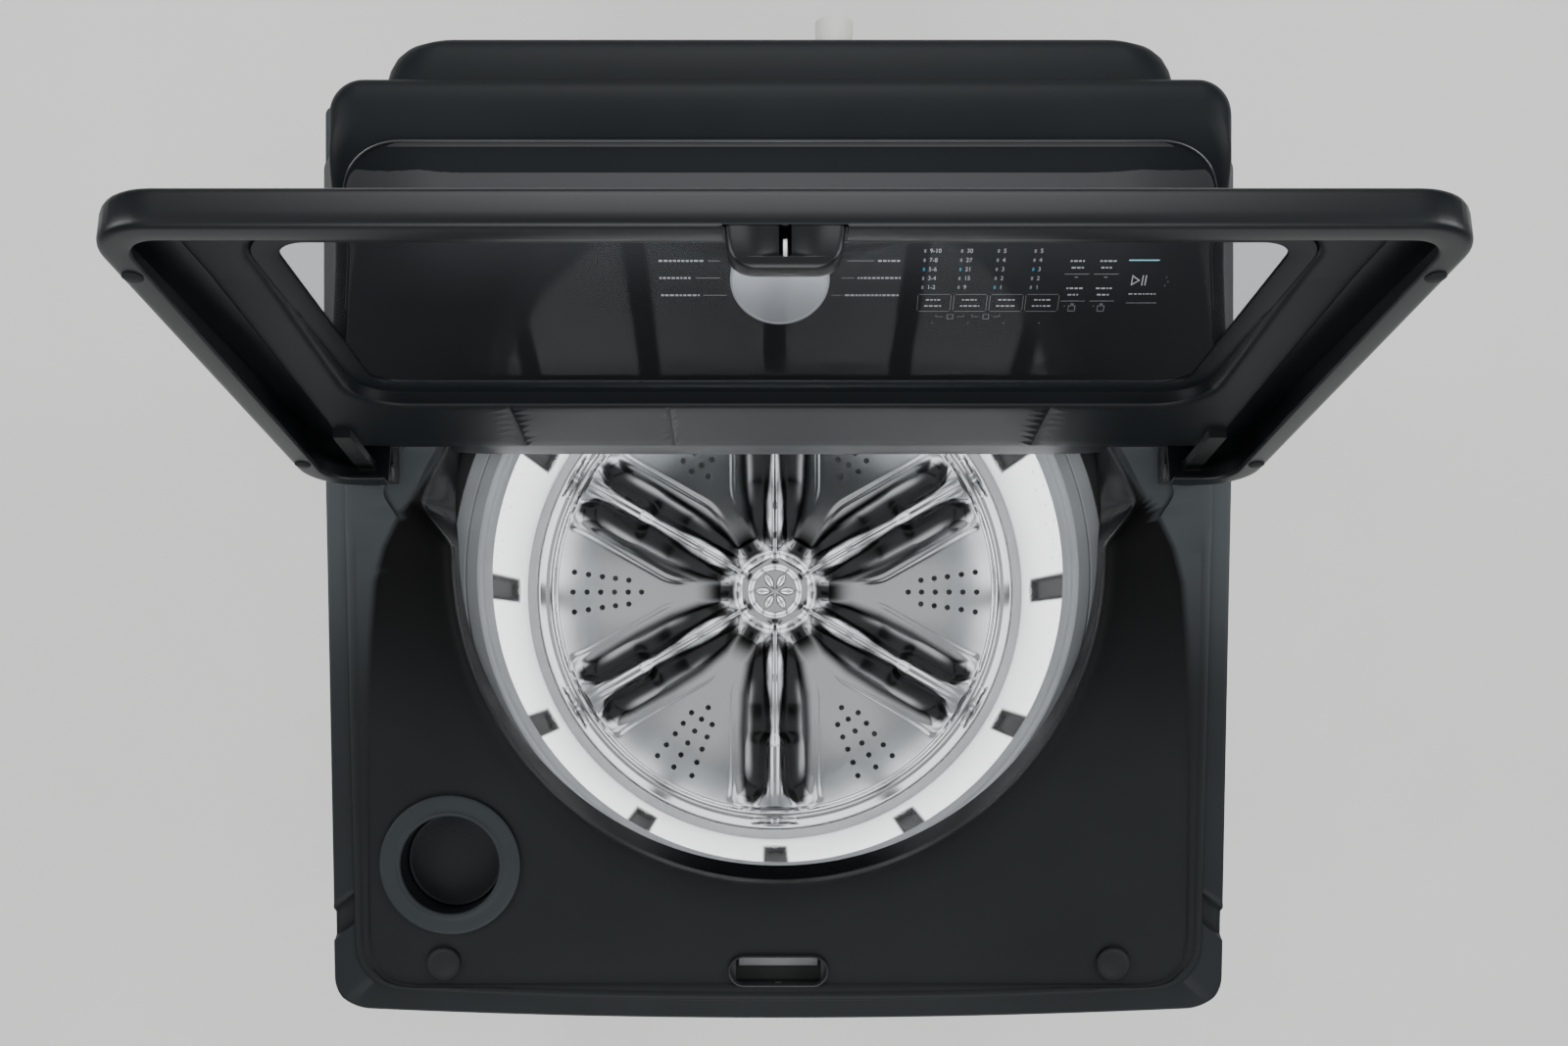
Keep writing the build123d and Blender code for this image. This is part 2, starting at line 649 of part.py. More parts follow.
def console_rear_cover():
    """Narrower rear section that closes the console and carries the inlet ports."""
    y0, y1 = TUB_Y + CONSOLE_BACK_Y, BACK_Y
    height = CONSOLE_H - 20.0

    def shell(inset):
        face = Pos(0, DECK_Z + (height - inset) / 2) * Rectangle(2 * (REAR_HALF_W - inset), height - inset)
        face = fillet(face.vertices().group_by(Axis.Y)[-1], 36.0)
        return Pos(0, y0, 0) * extrude(Plane.XZ * face, -(y1 - y0 - inset))

    cover = shell(0.0) - (Pos(0, -1, 0) * shell(PLASTIC)) - (Pos(0, 0, -1) * shell(PLASTIC))
    for k in (0, 1):
        cover -= bar_y(THREAD_R + 1.5, y1 - 10, y1 + 5, INLET_X, inlet_z(k))
    cover -= bar_y(8.0, y1 - 10, y1 + 5, -REAR_HALF_W + 60, DECK_Z + 40)
    return cover


def inlet_z(k):
    return DECK_Z + INLET_Z - k * INLET_PITCH


def inlet_valve():
    """Double fill valve: two threaded ports and the solenoid block behind them."""
    y = BACK_Y
    valve = block(INLET_X - 24, INLET_X + 24, y - 60, y - 22, inlet_z(1) - 20, inlet_z(0) + 20)
    for k in (0, 1):
        valve += bar_y(THREAD_R, y, y + INLET_OUT, INLET_X, inlet_z(k))
        valve += bar_y(THREAD_R - 0.8, y - 24, y, INLET_X, inlet_z(k))
        valve += bar_y(THREAD_R + 1.2, y - 12, y - 6, INLET_X, inlet_z(k))
        valve += block(INLET_X + 20, INLET_X + 56, y - 54, y - 30, inlet_z(k) - 12, inlet_z(k) + 12)
    for k in (0, 1):
        valve -= bar_y(THREAD_R - 3.2, y - 20, y + INLET_OUT + 1, INLET_X, inlet_z(k))
    valve += bar_y(9.0, y - 74, y - 58, INLET_X, inlet_z(1))
    return valve


def fill_hose():
    """Moulded hose from the valve down to the water nozzle."""
    y = BACK_Y - 74
    start = (INLET_X, y, inlet_z(1))
    pts = [start, (INLET_X, y - 60, inlet_z(1)), (INLET_X, y - 60, DECK_Z - 26),
           (INLET_X, TUB_Y + OPENING_REAR + 36, DECK_Z - 26)]
    path = FilletPolyline(*pts, radius=24)
    face = Plane(start, z_dir=(0, -1, 0)) * Circle(10.0)
    return sweep(face, path)


def water_nozzle():
    """Flat spray nozzle on the rear wall of the tub opening."""
    y = TUB_Y + OPENING_REAR + PLASTIC
    body = block(INLET_X - 34, INLET_X + 34, y + 0.2, y + 24, DECK_Z - 40, DECK_Z - 12)
    return body + bar_y(9.0, y + 20, y + 33, INLET_X, DECK_Z - 26)


def cord_gland():
    """Strain-relief bush for the mains lead, in the console's rear."""
    y = BACK_Y
    x, z = -REAR_HALF_W + 60, DECK_Z + 40
    gland = bar_y(8.0, y - 12, y + 9, x, z) + bar_y(11.0, y, y + 3, x, z)
    return gland - bar_y(4.2, y - 13, y + 10, x, z)


# ---- suspended tub ----
def outer_tub():
    """Moulded outer tub with four suspension ears and the drain outlet."""
    r, t = TUB_R, TUB_T
    z0, z1 = TUB_FLOOR_Z, RING_TOP_Z + 3.0
    points = [(30, z0 - 6), (r - 30, z0 - 6), (r + t, z0 + 26), (r + t, z1), (r, z1), (r, z0 + 28),
              (r - 32, z0), (30, z0)]
    tub = turned(points)
    for x, y in corners(ROD_X, ROD_Y):
        reach = math.hypot(x, y)
        angle = math.degrees(math.atan2(y, x))
        ear = Rot(0, 0, angle) * block(r + 1, reach + 14, -16, 16, EAR_Z, EAR_Z + 14)
        rib = Rot(0, 0, angle) * block(r + 1, reach - 24, -4, 4, EAR_Z + 14, EAR_Z + 70)
        tub += Pos(0, TUB_Y, 0) * (ear + rib)
        tub -= Pos(0, TUB_Y, 0) * post(ROD_R + 2.0, EAR_Z - 5, EAR_Z + 80, x, y)
    tub += ring(18, 13, z0 - 26, z0 - 4, PUMP_X, TUB_Y + PUMP_Y)
    tub -= post(13, z0 - 30, z0 + 1, PUMP_X, TUB_Y + PUMP_Y)
    return tub


def tub_cover():
    """Ring that closes the gap above the basket."""
    r = TUB_R + TUB_T
    z = RING_TOP_Z + 3.0
    return turned([(258, z), (r + 0.4, z), (r + 0.4, z - 14), (r + 3, z - 14), (r + 3, z + 3),
                   (258, z + 3)])


def suspension_rods():
    """Four hanging rods with a ball head in the corner braces."""
    rods = []
    top = COVER_Z + 2.0 + 2.5
    low = SPRING_LOW - 8
    for x, y in corners(ROD_X, ROD_Y):
        rod = post(ROD_R, low, top + 6, x, TUB_Y + y) + Pos(x, TUB_Y + y, top + 6) * Sphere(7.5)
        rod += post(19, low, SPRING_LOW, x, TUB_Y + y)
        rod += post(9, low - 6, low + 1, x, TUB_Y + y)
        rods.append(rod)
    return group(rods)


def spring_cups():
    """Friction cups above the springs, under the tub's ears."""
    cups = []
    for x, y in corners(ROD_X, ROD_Y):
        cups.append(ring(19, ROD_R + 1.2, EAR_Z - CUP_H, EAR_Z, x, TUB_Y + y))
    return group(cups)


def suspension_springs():
    """Coil springs between the rod-end cups and the friction cups."""
    springs = []
    rise = SPRING_L - 2 * SPRING_WIRE
    coil = Helix(pitch=rise / 9, height=rise, radius=SPRING_R)
    profile = Plane(coil @ 0, z_dir=coil % 0) * Circle(SPRING_WIRE)
    one = sweep(profile, coil, is_frenet=True)
    for x, y in corners(ROD_X, ROD_Y):
        springs.append(Pos(x, TUB_Y + y, SPRING_LOW + SPRING_WIRE) * one)
    return group(springs)


# ---- basket ----
def basket():
    """Stainless basket wall with a rolled top edge."""
    r = BASKET_R
    z0, z1 = FLOOR_Z, RING_TOP_Z - 2.0
    return turned([(r, z0), (r + BASKET_T, z0), (r + BASKET_T, z1), (r, z1)])


def basket_base():
    """Moulded floor with a raised floor ring and the hub that takes the spin shaft."""
    r = BASKET_R
    z = FLOOR_Z
    base = turned([(SPIN_R, z - 8), (46, z - 8), (46, z - 4), (r, z - 4), (r, z + 12), (WASH_R + 3, z + 12),
                   (WASH_R + 3, z), (46, z), (46, z + 3), (SPIN_R, z + 3)])
    hole_r = WASH_R - 62
    for k in range(24):
        a = math.radians(15 * k)
        base -= post(3.0, z - 10, z + 2, hole_r * math.cos(a), TUB_Y + hole_r * math.sin(a))
    return base


def balance_ring():
    """Hollow ring, filled with brine, in the top of the basket."""
    z1, z0 = RING_TOP_Z, RING_TOP_Z - RING_H
    r0, r1 = RING_R, BASKET_R - 0.2
    return turned([(r0 + 4, z1), (r1, z1), (r1, z0), (r0 + 6, z0), (r0, z0 + 8), (r0, z1 - 12),
                   (r0 + 2, z1 - 10), (r0 + 2, z1 - 5)])


def spin_shaft():
    return ring(SPIN_R, WASH_SHAFT_R + RUN, SHAFT_LOW, FLOOR_Z + 3, 0, TUB_Y)


def basket_bolts():
    bolts = []
    for k in range(6):
        a = math.radians(60 * k + 30)
        x, y = 34 * math.cos(a), TUB_Y + 34 * math.sin(a)
        bolts.append(post(5.0, FLOOR_Z + 3, FLOOR_Z + 7, x, y))
    return group(bolts)


# ---- wash plate ----
def wash_plate():
    """Wash plate: shallow dish with six vanes and a hub."""
    z = PLATE_Z
    plate = turned([(WASH_SHAFT_R, z - 8), (30, z - 8), (60, z - 10), (WASH_R, z - 10), (WASH_R, z + 4),
                    (WASH_R - 14, z + 4), (WASH_R - 22, z - 2), (60, z - 4), (38.8, z + 14), (30, z + 22),
                    (WASH_SHAFT_R, z + 22)])
    for k in range(6):
        vane = block(40, WASH_R - 22, -14, 14, z - 6, z + VANE_H - 6)
        vane = fillet(vane.edges().filter_by(Axis.X).group_by(Axis.Z)[-1], 9.0)
        plate += Pos(0, TUB_Y, 0) * Rot(0, 0, 60 * k + 30) * vane
    for k in range(6):
        for i in range(6):
            a = math.radians(60 * k)
            r = WASH_R - 114 + 15.2 * i
            plate -= post(3.0, z - 12, z + 1, r * math.cos(a), TUB_Y + r * math.sin(a))
    return plate


def wash_cap():
    """Round cap over the wash plate's bolt."""
    z = PLATE_Z + 22.0
    return turned([(0, z + 6), (0, z + 10), (24, z + 9), (29.3, z + 5), (29.3, z), (26, z), (26, z + 6)])


def wash_bolt():
    z = PLATE_Z + 22.0
    return post(11, z, z + 5, 0, TUB_Y) - Pos(0, TUB_Y, z + 5) * Box(30, 2, 3)


def wash_shaft():
    return post(WASH_SHAFT_R, ROTOR_Z - 14, PLATE_Z + 22, 0, TUB_Y)


# ---- drive ----
def bearing_housing():
    """Cast housing under the tub floor that holds both bearings."""
    top = HOUSING_TOP_Z
    return turned([(BEARING_R, top), (110, top), (110, top - 8), (BARREL_R, top - 12),
                   (BARREL_R, BARREL_LOW), (BEARING_R, BARREL_LOW), (BEARING_R, BARREL_LOW + 16),
                   (24, BARREL_LOW + 16), (24, top - 16), (BEARING_R, top - 16)])


def bearing(z0):
    """Ball bearing, shown as its two races with a shield between."""
    r = BEARING_R
    inner = SPIN_R + RUN
    return turned([(inner, z0), (inner + 4, z0), (inner + 4, z0 + 1), (r - 4, z0 + 1), (r - 4, z0),
                   (r, z0), (r, z0 + 15), (r - 4, z0 + 15), (r - 4, z0 + 14), (inner + 4, z0 + 14),
                   (inner + 4, z0 + 15), (inner, z0 + 15)])


def ball_bearings():
    return group([bearing(HOUSING_TOP_Z - 15.5), bearing(BARREL_LOW + 0.5)])


def shaft_seal():
    z = TUB_FLOOR_Z - 6.0
    bore = SPIN_R + 0.1
    return turned([(bore, z), (30, z), (30, z + 6), (26, z + 6), (22, z + 9), (bore, z + 9)])


def stator():
    """Wound stator: carrier ring and thirty-six poles."""
    z0 = BARREL_LOW + 4
    core = ring(96, BARREL_R, z0, z0 + 14, 0, TUB_Y)
    pole = block(94, STATOR_R - 4, -3, 3, z0 - 2, z0 + 16)
    pole += block(STATOR_R - 4, STATOR_R, -8, 8, z0 - 2, z0 + 16)
    for k in range(36):
        core += Pos(0, TUB_Y, 0) * Rot(0, 0, 10 * k) * pole
    return core


def rotor():
    """Outer rotor cup with spokes' vents, on the wash shaft."""
    z = ROTOR_Z
    r = STATOR_R + 3
    cup = turned([(WASH_SHAFT_R, z - 8), (24, z - 8), (30, z - 4), (r + 7, z - 4), (r + 7, z + 36),
                  (r, z + 36), (r, z), (WASH_SHAFT_R, z)])
    for k in range(12):
        cup -= Pos(0, TUB_Y, 0) * Rot(0, 0, 30 * k) * block(60, 100, -7, 7, z - 6, z + 1)
    return cup


def rotor_nut():
    z = ROTOR_Z - 8
    nut = Pos(0, TUB_Y, z - 6) * extrude(RegularPolygon(13, 6), 6)
    return nut - post(WASH_SHAFT_R, z - 7, z + 1, 0, TUB_Y)


def clutch_coupler():
    """Splined sleeve on the spin shaft, dropped to the rotor; the coil lifts it free."""
    z0 = ROTOR_Z + 0.5
    sleeve = ring(25, SPIN_R + RUN, z0, z0 + 8.5, 0, TUB_Y)
    for k in range(12):
        sleeve -= Pos(0, TUB_Y, 0) * Rot(0, 0, 30 * k) * block(22, 27, -1.6, 1.6, z0 - 1, z0 + 4)
    return sleeve


def clutch_coil():
    """Ring-shaped coil that lifts the coupler."""
    return ring(BARREL_R, 28, BARREL_LOW - 11, BARREL_LOW, 0, TUB_Y)


def housing_bolts():
    bolts = []
    for k in range(6):
        a = math.radians(60 * k + 20)
        x, y = 92 * math.cos(a), TUB_Y + 92 * math.sin(a)
        bolts.append(post(6, HOUSING_TOP_Z - 14.5, HOUSING_TOP_Z - 9.6, x, y))
    return group(bolts)


# ---- pump and hoses ----
def pump_housing():
    """Volute with its inlet on top, its outlet to the rear and a foot on the base."""
    x, y, z = PUMP_X, TUB_Y + PUMP_Y, PUMP_Z
    body = bar_x(PUMP_R, x - 22, x + 22, y, z)
    body += post(15, z, z + PUMP_R + 22, x, y)
    body += bar_y(14, y, y + PUMP_R + 24, x, z - PUMP_R + 16)
    body += block(x - 20, x + 20, y - 30, y + 30, FOOT_H + 2, z - PUMP_R + 8)
    body -= bar_x(PUMP_R - 4, x - 18, x + 18, y, z)
    body -= post(12, z + 10, z + PUMP_R + 30, x, y)
    body -= bar_y(11, y + 10, y + PUMP_R + 30, x, z - PUMP_R + 16)
    body -= bar_x(4.0, x + 10, x + 30, y, z)
    return body


def pump_impeller():
    """Six-bladed pump wheel on its shaft."""
    x, y, z = PUMP_X, TUB_Y + PUMP_Y, PUMP_Z
    wheel = bar_x(8, x - 14, x + 17, y, z) + bar_x(3.4, x + 10, x + 40, y, z)
    for k in range(6):
        blade = block(-14, 14, 0, PUMP_R - 8, -1.5, 1.5)
        wheel += Pos(x, y, z) * Rot(60 * k, 0, 0) * blade
    return wheel


def pump_motor():
    """Motor behind the pump, clear of the wheel's shaft."""
    x, y, z = PUMP_X, TUB_Y + PUMP_Y, PUMP_Z
    motor = bar_x(30, x + 22, x + 78, y, z) + bar_x(34, x + 30, x + 60, y, z)
    return motor - bar_x(4.0, x + 21, x + 44, y, z)


def sump_hose():
    """Ribbed hose from the tub outlet to the pump inlet."""
    low = PUMP_Z + PUMP_R + 22
    high = TUB_FLOOR_Z - 26
    count = 12
    pitch = (high - low) / count
    points = [(15.2, low)]
    for k in range(count):
        z = low + k * pitch
        points += [(15.2, z + pitch * 0.2), (19, z + pitch * 0.4)]
        points += [(19, z + pitch * 0.7), (15.2, z + pitch * 0.9)]
    points += [(15.2, high), (12.5, high), (12.5, low)]
    hose = revolve(Plane.XZ * make_face(Polyline(*points, close=True)), Axis.Z)
    return Pos(PUMP_X, TUB_Y + PUMP_Y, 0) * hose


def drain_hose():
    """Drain hose from the pump, along the base and up the rear to its outlet."""
    x, y, z = PUMP_X, TUB_Y + PUMP_Y + PUMP_R + 24, PUMP_Z - PUMP_R + 16
    rear = BACK_Y - HOSE_REAR
    pts = [(x, y, z), (x, rear, z), (DRAIN_X, rear, z + 240), (DRAIN_X, rear, DRAIN_Z),
           (DRAIN_X, BACK_Y - 12, DRAIN_Z)]
    path = FilletPolyline(*pts, radius=[70.0, 90.0, 30.0])
    face = Plane((x, y, z), z_dir=(0, 1, 0)) * Circle(HOSE_R)
    return sweep(face, path)


def drain_outlet():
    """Barbed outlet through the rear panel."""
    y = BACK_Y
    outlet = bar_y(HOSE_R + 2, y - 12, y, DRAIN_X, DRAIN_Z) + bar_y(HOSE_R, y, y + 22, DRAIN_X, DRAIN_Z)
    outlet += bar_y(HOSE_R + 7, y - PLASTIC - 1, y, DRAIN_X, DRAIN_Z)
    return outlet - bar_y(HOSE_R - 3, y - 13, y + 23, DRAIN_X, DRAIN_Z)


# ---- screws ----
def cabinet_screws():
    """Panel, console and hinge screws."""
    screws = []
    y = BACK_Y - PLASTIC - 1
    for side in (-1, 1):
        for k in range(6):
            z = FOOT_H + BASE_H + 30 + k * (COVER_Z - FOOT_H - BASE_H - 60) / 5
            screws.append(bar_y(4.0, y, y + 2.6, side * (HALF_W - 16), z))
        for x in (REAR_HALF_W / 2, REAR_HALF_W - 22):
            screws.append(bar_y(4.0, BACK_Y, BACK_Y + 2.4, side * x, DECK_Z + 16))
        screws.append(post(3, DECK_Z + 3, DECK_Z + 4.5, side * HINGE_X, HINGE_Y + 22))
    return group(screws)


PARTS = {
    "cabinet_wrap": cabinet_wrap, "rear_panel": rear_panel, "base_frame": base_frame,
    "levelling_feet": levelling_feet, "foot_locknuts": foot_locknuts,
    "top_cover": top_cover, "bleach_cup": bleach_cup, "deck_bumpers": deck_bumpers,
    "lock_bezel": lock_bezel, "lock_unit": lock_unit, "lock_bolt": lock_bolt,
    "lid_frame": lid_frame, "lid_glass": lid_glass, "lid_inner_frame": lid_inner_frame,
    "lid_strike": lid_strike, "lid_bumpers": lid_bumpers, "lid_hinge_arms": lid_hinge_arms,
    "hinge_pins": hinge_pins, "hinge_brackets": hinge_brackets,
    "console_housing": console_housing, "control_panel": control_panel, "console_trim": console_trim,
    "program_knob": program_knob, "knob_encoder": knob_encoder, "control_board": control_board,
    "console_rear_cover": console_rear_cover,
    "inlet_valve": inlet_valve, "fill_hose": fill_hose, "water_nozzle": water_nozzle,
    "cord_gland": cord_gland, "outer_tub": outer_tub, "tub_cover": tub_cover,
    "suspension_rods": suspension_rods, "spring_cups": spring_cups,
    "suspension_springs": suspension_springs, "basket": basket, "basket_base": basket_base,
    "balance_ring": balance_ring, "spin_shaft": spin_shaft, "basket_bolts": basket_bolts,
    "wash_plate": wash_plate, "wash_cap": wash_cap, "wash_bolt": wash_bolt, "wash_shaft": wash_shaft,
    "bearing_housing": bearing_housing, "ball_bearings": ball_bearings, "shaft_seal": shaft_seal,
    "stator": stator, "rotor": rotor, "rotor_nut": rotor_nut, "clutch_coupler": clutch_coupler,
    "clutch_coil": clutch_coil,
    "housing_bolts": housing_bolts, "pump_housing": pump_housing, "pump_impeller": pump_impeller,
    "pump_motor": pump_motor, "sump_hose": sump_hose, "drain_hose": drain_hose,
    "drain_outlet": drain_outlet, "cabinet_screws": cabinet_screws,
}

os.makedirs("parts", exist_ok=True)
for name, make in PARTS.items():
    export_step(make(), f"parts/{name}.step")
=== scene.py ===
"""Looks of the top-loading washing machine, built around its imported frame."""

import logging
import math
from dataclasses import dataclass, field
from enum import Enum
from typing import Callable, Sequence

import bmesh
import bpy
import numpy as np
from mathutils import Matrix, Vector


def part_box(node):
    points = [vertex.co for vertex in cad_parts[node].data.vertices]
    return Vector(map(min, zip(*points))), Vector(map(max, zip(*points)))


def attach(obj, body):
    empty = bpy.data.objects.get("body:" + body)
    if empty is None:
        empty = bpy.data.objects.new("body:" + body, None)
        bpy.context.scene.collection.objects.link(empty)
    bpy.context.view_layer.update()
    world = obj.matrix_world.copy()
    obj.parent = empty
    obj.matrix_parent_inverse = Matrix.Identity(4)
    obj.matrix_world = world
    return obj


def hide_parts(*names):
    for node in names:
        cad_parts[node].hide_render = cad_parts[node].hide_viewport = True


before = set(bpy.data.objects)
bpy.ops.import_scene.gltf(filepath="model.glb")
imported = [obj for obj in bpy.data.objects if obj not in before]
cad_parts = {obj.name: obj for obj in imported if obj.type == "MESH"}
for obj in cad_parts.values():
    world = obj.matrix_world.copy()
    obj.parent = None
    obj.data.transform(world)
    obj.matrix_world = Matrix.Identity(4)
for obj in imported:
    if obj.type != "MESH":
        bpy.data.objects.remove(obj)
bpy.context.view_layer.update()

LOG = logging.getLogger("washer")
MM = 0.001
Ring = np.ndarray


# ---------------------------------------------------------------- finishes
class Grain(Enum):
    """How a finish breaks up its surface."""

    FINE = "fine"
    BRUSHED = "brushed"
    TURNED = "turned"
    SMOOTH = "smooth"


LOOK = "look_"
GRAIN_SCALE = {Grain.BRUSHED: (0.02, 1.0, 1.0), Grain.TURNED: (0.03, 0.03, 1.0)}
COAT_ROUGHNESS = 0.06
BUMP_DEPTH = 0.0004
BROAD_SCALE, BROAD_DETAIL, FINE_DETAIL = 9.0, 4.0, 3.0
EDGE_STEPS = 4


def blank(name: str) -> bpy.types.Material:
    """Return a new node material of the look."""
    made = bpy.data.materials.new(f"{LOOK}{name}")
    made.use_nodes = True
    return made


def wander(tree: bpy.types.NodeTree, scale: float, low: float, high: float) -> None:
    """Let the roughness of the tree's main shader wander over the surface.

    Args:
        tree: The material's node tree.
        scale: Repeats per metre.
        low: Least roughness.
        high: Greatest roughness.
    """
    place = tree.nodes.new("ShaderNodeTexCoord")
    noise = tree.nodes.new("ShaderNodeTexNoise")
    noise.inputs["Scale"].default_value = scale
    tree.links.new(place.outputs["Object"], noise.inputs["Vector"])
    rough = tree.nodes.new("ShaderNodeMapRange")
    rough.inputs["To Min"].default_value = low
    rough.inputs["To Max"].default_value = high
    tree.links.new(noise.outputs["Fac"], rough.inputs["Value"])
    tree.links.new(rough.outputs["Result"], tree.nodes["Principled BSDF"].inputs["Roughness"])


@dataclass(frozen=True)
class Finish:
    """A surface finish, made into a node material on first use.

    Args:
        name: Material name.
        color: Base colour, linear.
        roughness: Mean roughness.
        metallic: Metal share.
        grain: How the surface is broken up.
        scale: Grain size, in repeats per metre.
        bump: Depth of the grain.
        spread: How far roughness wanders either way.
        tint: Share of darker patches in the colour.
        coat: Clear coat weight.
        wear: Share of light wear on edges.
        aniso: Anisotropy of the highlight.
        specular: Specular level.
        shade: Share of painted shade where the mesh's "shade" attribute is one.
    """

    name: str
    color: tuple[float, float, float]
    roughness: float = 0.45
    metallic: float = 0.0
    grain: Grain = Grain.FINE
    scale: float = 900.0
    bump: float = 0.05
    spread: float = 0.05
    tint: float = 0.08
    coat: float = 0.0
    wear: float = 0.0
    aniso: float = 0.0
    specular: float = 0.5
    shade: float = 0.0

    def material(self) -> bpy.types.Material:
        """Return the node material of this finish."""
        found = bpy.data.materials.get(f"{LOOK}{self.name}")
        if found:
            return found
        made = blank(self.name)
        tree = made.node_tree
        shader = tree.nodes["Principled BSDF"]
        shader.inputs["Metallic"].default_value = self.metallic
        shader.inputs["Coat Weight"].default_value = self.coat
        shader.inputs["Coat Roughness"].default_value = COAT_ROUGHNESS
        shader.inputs["Anisotropic"].default_value = self.aniso
        shader.inputs["Specular IOR Level"].default_value = self.specular
        place = tree.nodes.new("ShaderNodeTexCoord")
        vector = self._stretch(tree, place.outputs["Object"])
        fine = self._noise(tree, vector, self.scale, FINE_DETAIL)
        broad = self._noise(tree, place.outputs["Object"], BROAD_SCALE, BROAD_DETAIL)
        rough = tree.nodes.new("ShaderNodeMapRange")
        rough.inputs["To Min"].default_value = max(0.02, self.roughness - self.spread)
        rough.inputs["To Max"].default_value = min(1.0, self.roughness + self.spread)
        tree.links.new(broad.outputs["Fac"], rough.inputs["Value"])
        tree.links.new(rough.outputs["Result"], shader.inputs["Roughness"])
        self._color(tree, shader, broad)
        if self.bump > 0.0:
            bump = tree.nodes.new("ShaderNodeBump")
            bump.inputs["Strength"].default_value = self.bump
            bump.inputs["Distance"].default_value = BUMP_DEPTH
            tree.links.new(fine.outputs["Fac"], bump.inputs["Height"])
            tree.links.new(bump.outputs["Normal"], shader.inputs["Normal"])
        return made

    def _stretch(self, tree: bpy.types.NodeTree, vector: bpy.types.NodeSocket) -> bpy.types.NodeSocket:
        """Stretch the grain along its direction for brushed and turned finishes.

        Args:
            tree: The material's node tree.
            vector: Texture vector.

        Returns:
            The stretched vector.
        """
        if self.grain not in GRAIN_SCALE:
            return vector
        mapping = tree.nodes.new("ShaderNodeMapping")
        mapping.inputs["Scale"].default_value = GRAIN_SCALE[self.grain]
        tree.links.new(vector, mapping.inputs["Vector"])
        return mapping.outputs["Vector"]

    def _noise(self, tree: bpy.types.NodeTree, vector: bpy.types.NodeSocket, scale: float,
               detail: float) -> bpy.types.Node:
        """Add a noise texture.

        Args:
            tree: The material's node tree.
            vector: Texture vector.
            scale: Repeats per metre.
            detail: Octaves.

        Returns:
            The noise node.
        """
        noise = tree.nodes.new("ShaderNodeTexNoise")
        noise.inputs["Scale"].default_value = scale
        noise.inputs["Detail"].default_value = detail
        tree.links.new(vector, noise.inputs["Vector"])
        return noise

    def _color(self, tree: bpy.types.NodeTree, shader: bpy.types.Node, broad: bpy.types.Node) -> None:
        """Drive the base colour with slow patches, edge wear and painted shade from the mesh's shade
        attribute.

        Args:
            tree: The material's node tree.
            shader: The principled shader.
            broad: Slow noise.
        """
        ramp = tree.nodes.new("ShaderNodeValToRGB")
        dark = tuple(c * (1.0 - self.tint) for c in self.color)
        light = tuple(min(1.0, c * (1.0 + self.tint)) for c in self.color)
        ramp.color_ramp.elements[0].position = 0.35
        ramp.color_ramp.elements[0].color = (*dark, 1.0)
        ramp.color_ramp.elements[1].position = 0.65
        ramp.color_ramp.elements[1].color = (*light, 1.0)
        tree.links.new(broad.outputs["Fac"], ramp.inputs["Fac"])
        result = ramp.outputs["Color"]
        if self.wear > 0.0:
            geometry = tree.nodes.new("ShaderNodeNewGeometry")
            edge = tree.nodes.new("ShaderNodeMapRange")
            edge.inputs["From Min"].default_value = 0.52
            edge.inputs["From Max"].default_value = 0.62
            edge.inputs["To Max"].default_value = self.wear
            tree.links.new(geometry.outputs["Pointiness"], edge.inputs["Value"])
            mix = tree.nodes.new("ShaderNodeMix")
            mix.data_type = "RGBA"
            mix.inputs[7].default_value = (*[min(1.0, c * 2.0 + 0.05) for c in self.color], 1.0)
            tree.links.new(edge.outputs["Result"], mix.inputs[0])
            tree.links.new(result, mix.inputs[6])
            result = mix.outputs[2]
        # Painted shade: mix the colour toward near black where the mesh's shade attribute is set.
        if self.shade > 0.0:
            attribute = tree.nodes.new("ShaderNodeAttribute")
            attribute.attribute_name = "shade"
            amount = tree.nodes.new("ShaderNodeMath")
            amount.operation = "MULTIPLY"
            amount.inputs[1].default_value = self.shade
            deep = tree.nodes.new("ShaderNodeMix")
            deep.data_type = "RGBA"
            deep.inputs[7].default_value = (*[c * 0.02 for c in self.color], 1.0)
            tree.links.new(attribute.outputs["Fac"], amount.inputs[0])
            tree.links.new(amount.outputs["Value"], deep.inputs[0])
            tree.links.new(result, deep.inputs[6])
            result = deep.outputs[2]
        tree.links.new(result, shader.inputs["Base Color"])


@dataclass(frozen=True)
class GlassFinish:
    """Smoked flat glass.

    Args:
        name: Material name.
        color: Transmission tint.
    """

    name: str
    color: tuple[float, float, float]

    def material(self) -> bpy.types.Material:
        """Return the node material of this glass."""
        found = bpy.data.materials.get(f"{LOOK}{self.name}")
        if found:
            return found
        made = blank(self.name)
        tree = made.node_tree
        shader = tree.nodes["Principled BSDF"]
        shader.inputs["Base Color"].default_value = (0.01, 0.011, 0.012, 1.0)
        clear = tree.nodes.new("ShaderNodeBsdfTransparent")
        clear.inputs["Color"].default_value = (*self.color, 1.0)
        mix = tree.nodes.new("ShaderNodeMixShader")
        mix.inputs["Fac"].default_value = 0.05
        tree.links.new(clear.outputs["BSDF"], mix.inputs[1])
        tree.links.new(shader.outputs["BSDF"], mix.inputs[2])
        tree.links.new(mix.outputs["Shader"], tree.nodes["Material Output"].inputs["Surface"])
        wander(tree, 14.0, 0.03, 0.06)
        return made


